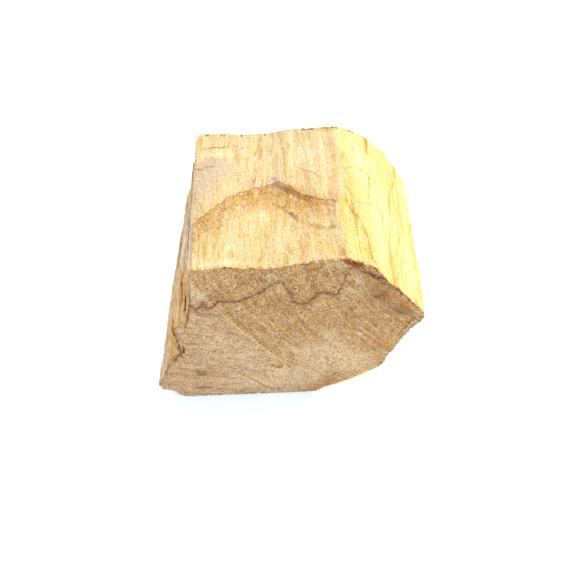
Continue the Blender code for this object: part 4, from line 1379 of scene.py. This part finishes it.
split = weights["top"] + weights["slope"] + weights["torn"]
tufts = uneven(lumps(points, FRINGE_TUFT, 31.0), contrast=2.0, middle=0.45)
sides = weights["top"] + SLOPE_SHARE * weights["slope"] + LEFT_SHARE * (x < LEFT_OF) * (z > HIGH_ON_LEFT)
sides = np.clip(sides + RARE, 0.0, 1.0) * (z > FOOT_HEIGHT)
rooted = picked((rim < FRINGE_RIM) * (split > FRINGE_SPLIT) * tufts * sides, FRINGE_COUNT)
forward = np.where(y[rooted] < MIDDLE_Y, -1.0, 1.0)
along = grain_directions(rooted, forward, FRINGE_LEAN, FRINGE_SCATTER)
room = np.where(along[:, 1] < 0.0, y[rooted] - FRONT_LIMIT, BACK_LIMIT - y[rooted])
roots = points[rooted] - normals[rooted] * FRINGE_SUNK - along * FRINGE_BURIED
length = FRINGE_BURIED + np.clip(dice.uniform(*FRINGE_LENGTH, FRINGE_COUNT), 0.0, room)
width = dice.uniform(*FRINGE_WIDTH, FRINGE_COUNT)
bend = dice.uniform(*FRINGE_BEND, FRINGE_COUNT)
# Slivers behind the middle of the chunk get a paler tone: painted light, to offset the shade that makes them
# read dark.
tone = dice.uniform(*FRINGE_TONE, FRINGE_COUNT) + PALER_BEHIND * (y[rooted] > MIDDLE_Y)
torn_fringe = lay_slivers("torn_fringe", roots, normals[rooted], along, length, width, bend, tone)

# %% [markdown]
# ### Slivers on the torn sides
#
# These are longer and lie close to the wood, more of them on the left than on the right. The chance is
# highest on the ridges of the relief, because that is where a sheet of fibres came away.

# %% Slivers on the torn sides
SPLIT_COUNT = 600
SPLIT_RIM = 0.6
SPLIT_TORN = 0.6
SPLIT_HEIGHT = 0.8
SPLIT_PATCH = (3.0, 9.0, 3.0)
SPLIT_SUNK = 0.10
SPLIT_LEAN = (-0.03, 0.03)
SPLIT_SCATTER = (0.03, 0.03, 0.03)
SPLIT_LENGTH = (1.2, 4.6)
SPLIT_WIDTH = (0.14, 0.42)
SPLIT_BEND = (0.0, 0.07)
SPLIT_TONE = (0.2, 1.0)
SHORTEST = 0.5
RIGHT_SHARE = 0.4

ridges = uneven(height, contrast=4.0, middle=0.6)
ridges *= uneven(lumps(points, SPLIT_PATCH, 35.0), contrast=2.0, middle=0.6)
torn = (weights["torn"] > SPLIT_TORN) * (rim > SPLIT_RIM) * (z > SPLIT_HEIGHT)
rooted = picked(torn * ridges * np.where(x < 0.0, 1.0, RIGHT_SHARE), SPLIT_COUNT)
forward = dice.choice((-1.0, 1.0), SPLIT_COUNT)
along = grain_directions(rooted, forward, SPLIT_LEAN, SPLIT_SCATTER)
room = np.where(along[:, 1] < 0.0, y[rooted] - FRONT_FACE, BACK_FACE - y[rooted])
roots = points[rooted] - normals[rooted] * SPLIT_SUNK
length = np.clip(dice.uniform(*SPLIT_LENGTH, SPLIT_COUNT), SHORTEST, np.maximum(room, SHORTEST))
width = dice.uniform(*SPLIT_WIDTH, SPLIT_COUNT)
bend = dice.uniform(*SPLIT_BEND, SPLIT_COUNT)
tone = dice.uniform(*SPLIT_TONE, SPLIT_COUNT)
split_slivers = lay_slivers("split_slivers", roots, normals[rooted], along, length, width, bend, tone)

# %% [markdown]
# ### Torn fibre
#
# A torn fibre is thin enough to let light through, so it looks warmer than the wood under it. The tone
# stored for each sliver takes it from burnt orange to cream.


# %% Material of the slivers
def torn_fibre():
    """Orange brown fibre, from dark to cream by the tone of each sliver, with fine streaks along it."""
    material, tree, shader, place = new_material("palo santo, torn fibre", 0.75)
    tone = add(tree, "Attribute", {}, "Fac", attribute_name="tone")
    streak = pattern(tree, place, (0.25, 2.5, 0.25), 2.0, 0.6, 41.0)
    colour = mixed(tree, linear("#C08840"), (
        (masked(tree, tone, 0.4, 0.9), "#DCC08C"),
        (masked(tree, tone, 0.35, 0.0, 0.9), "#925420"),
        (masked(tree, streak, 0.40, 0.65, 0.35), "#E6CE98"),
    ))
    tree.links.new(colour, shader.inputs["Base Color"])
    print(material.name, "has", len(tree.nodes), "nodes")
    return material


fibre = torn_fibre()
for piece in (torn_fringe, split_slivers):
    piece.data.materials.append(fibre)
    piece.data.shade_smooth()
    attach(piece, "root")

# %% [markdown]
# ## Floor, light and camera
#
# The floor is a plain pale sheet. It glows a little, as a light table does, so that the shadow under the
# wood stays soft. The sky is even and white, and one broad lamp from the right, a little behind, brightens
# the slope.

# %% Stage
FLOOR_SIZE = 4.0
FLOOR_GLOW = 0.30
SKY_STRENGTH = 1.2
LAMP_DIRECTION = Vector((0.80, 0.28, 0.52)).normalized()
LAMP_DISTANCE = 1.2
LAMP_SIZE = 0.5
LAMP_WATTS = 12.0
LAMP_COLOUR = (1.0, 0.97, 0.90)
WHITE = linear("#FFFFFF")

bpy.ops.object.select_all(action="DESELECT")
bpy.ops.mesh.primitive_plane_add(size=FLOOR_SIZE, location=(0.0, 0.0, 0.0))
floor = bpy.context.object
floor.name = "floor"
paper = bpy.data.materials.new("pale paper floor")
paper.use_nodes = True
paper_shader = paper.node_tree.nodes["Principled BSDF"]
paper_shader.inputs["Base Color"].default_value = linear("#DAEBFD")
paper_shader.inputs["Roughness"].default_value = 0.9
paper_shader.inputs["Emission Color"].default_value = WHITE
paper_shader.inputs["Emission Strength"].default_value = FLOOR_GLOW
floor.data.materials.append(paper)

world = bpy.data.worlds.new("even white sky")
bpy.context.scene.world = world
world.use_nodes = True
sky = world.node_tree.nodes["Background"]
sky.inputs["Color"].default_value = WHITE
sky.inputs["Strength"].default_value = SKY_STRENGTH

bpy.ops.object.light_add(type="AREA", location=LAMP_DIRECTION * LAMP_DISTANCE)
lamp = bpy.context.object
lamp.name = "broad lamp"
lamp.rotation_euler = (-LAMP_DIRECTION).to_track_quat("-Z", "Y").to_euler()
lamp.data.shape = "DISK"
lamp.data.size = LAMP_SIZE
lamp.data.energy = LAMP_WATTS
lamp.data.color = LAMP_COLOUR
print("the lamp stands", LAMP_DISTANCE, "m away and is", LAMP_SIZE, "m across")

# %% [markdown]
# The camera looks down at 50 degrees and 2.5 degrees to the right of straight along the grain, from about
# 16 cm. The focal length was fitted in pixels of a picture 570 pixels wide, and is turned into millimetres
# of its sensor.

# %% Camera
PITCH = math.radians(50.0)
HEADING = math.radians(2.5)
LOOK = Vector((math.sin(HEADING) * math.cos(PITCH), math.cos(HEADING) * math.cos(PITCH), -math.sin(PITCH)))
CAMERA_PLACE = Vector((5.243, -86.130, 146.055))
FOCAL_PIXELS = 650.0
PICTURE_WIDTH = 570.0
SENSOR_WIDTH = 36.0

bpy.ops.object.camera_add()
camera = bpy.context.object
camera.location = (CAMERA_PLACE + Vector(MEASURING_ZERO)) * MM
camera.rotation_euler = LOOK.to_track_quat("-Z", "Y").to_euler()
camera.data.sensor_width = SENSOR_WIDTH
camera.data.lens = FOCAL_PIXELS / PICTURE_WIDTH * SENSOR_WIDTH
camera.data.clip_start = 0.005
camera.data.clip_end = 20.0
bpy.context.scene.camera = camera
bpy.context.scene.view_settings.view_transform = "Standard"
print("the lens has a focal length of", round(camera.data.lens, 1), "mm")
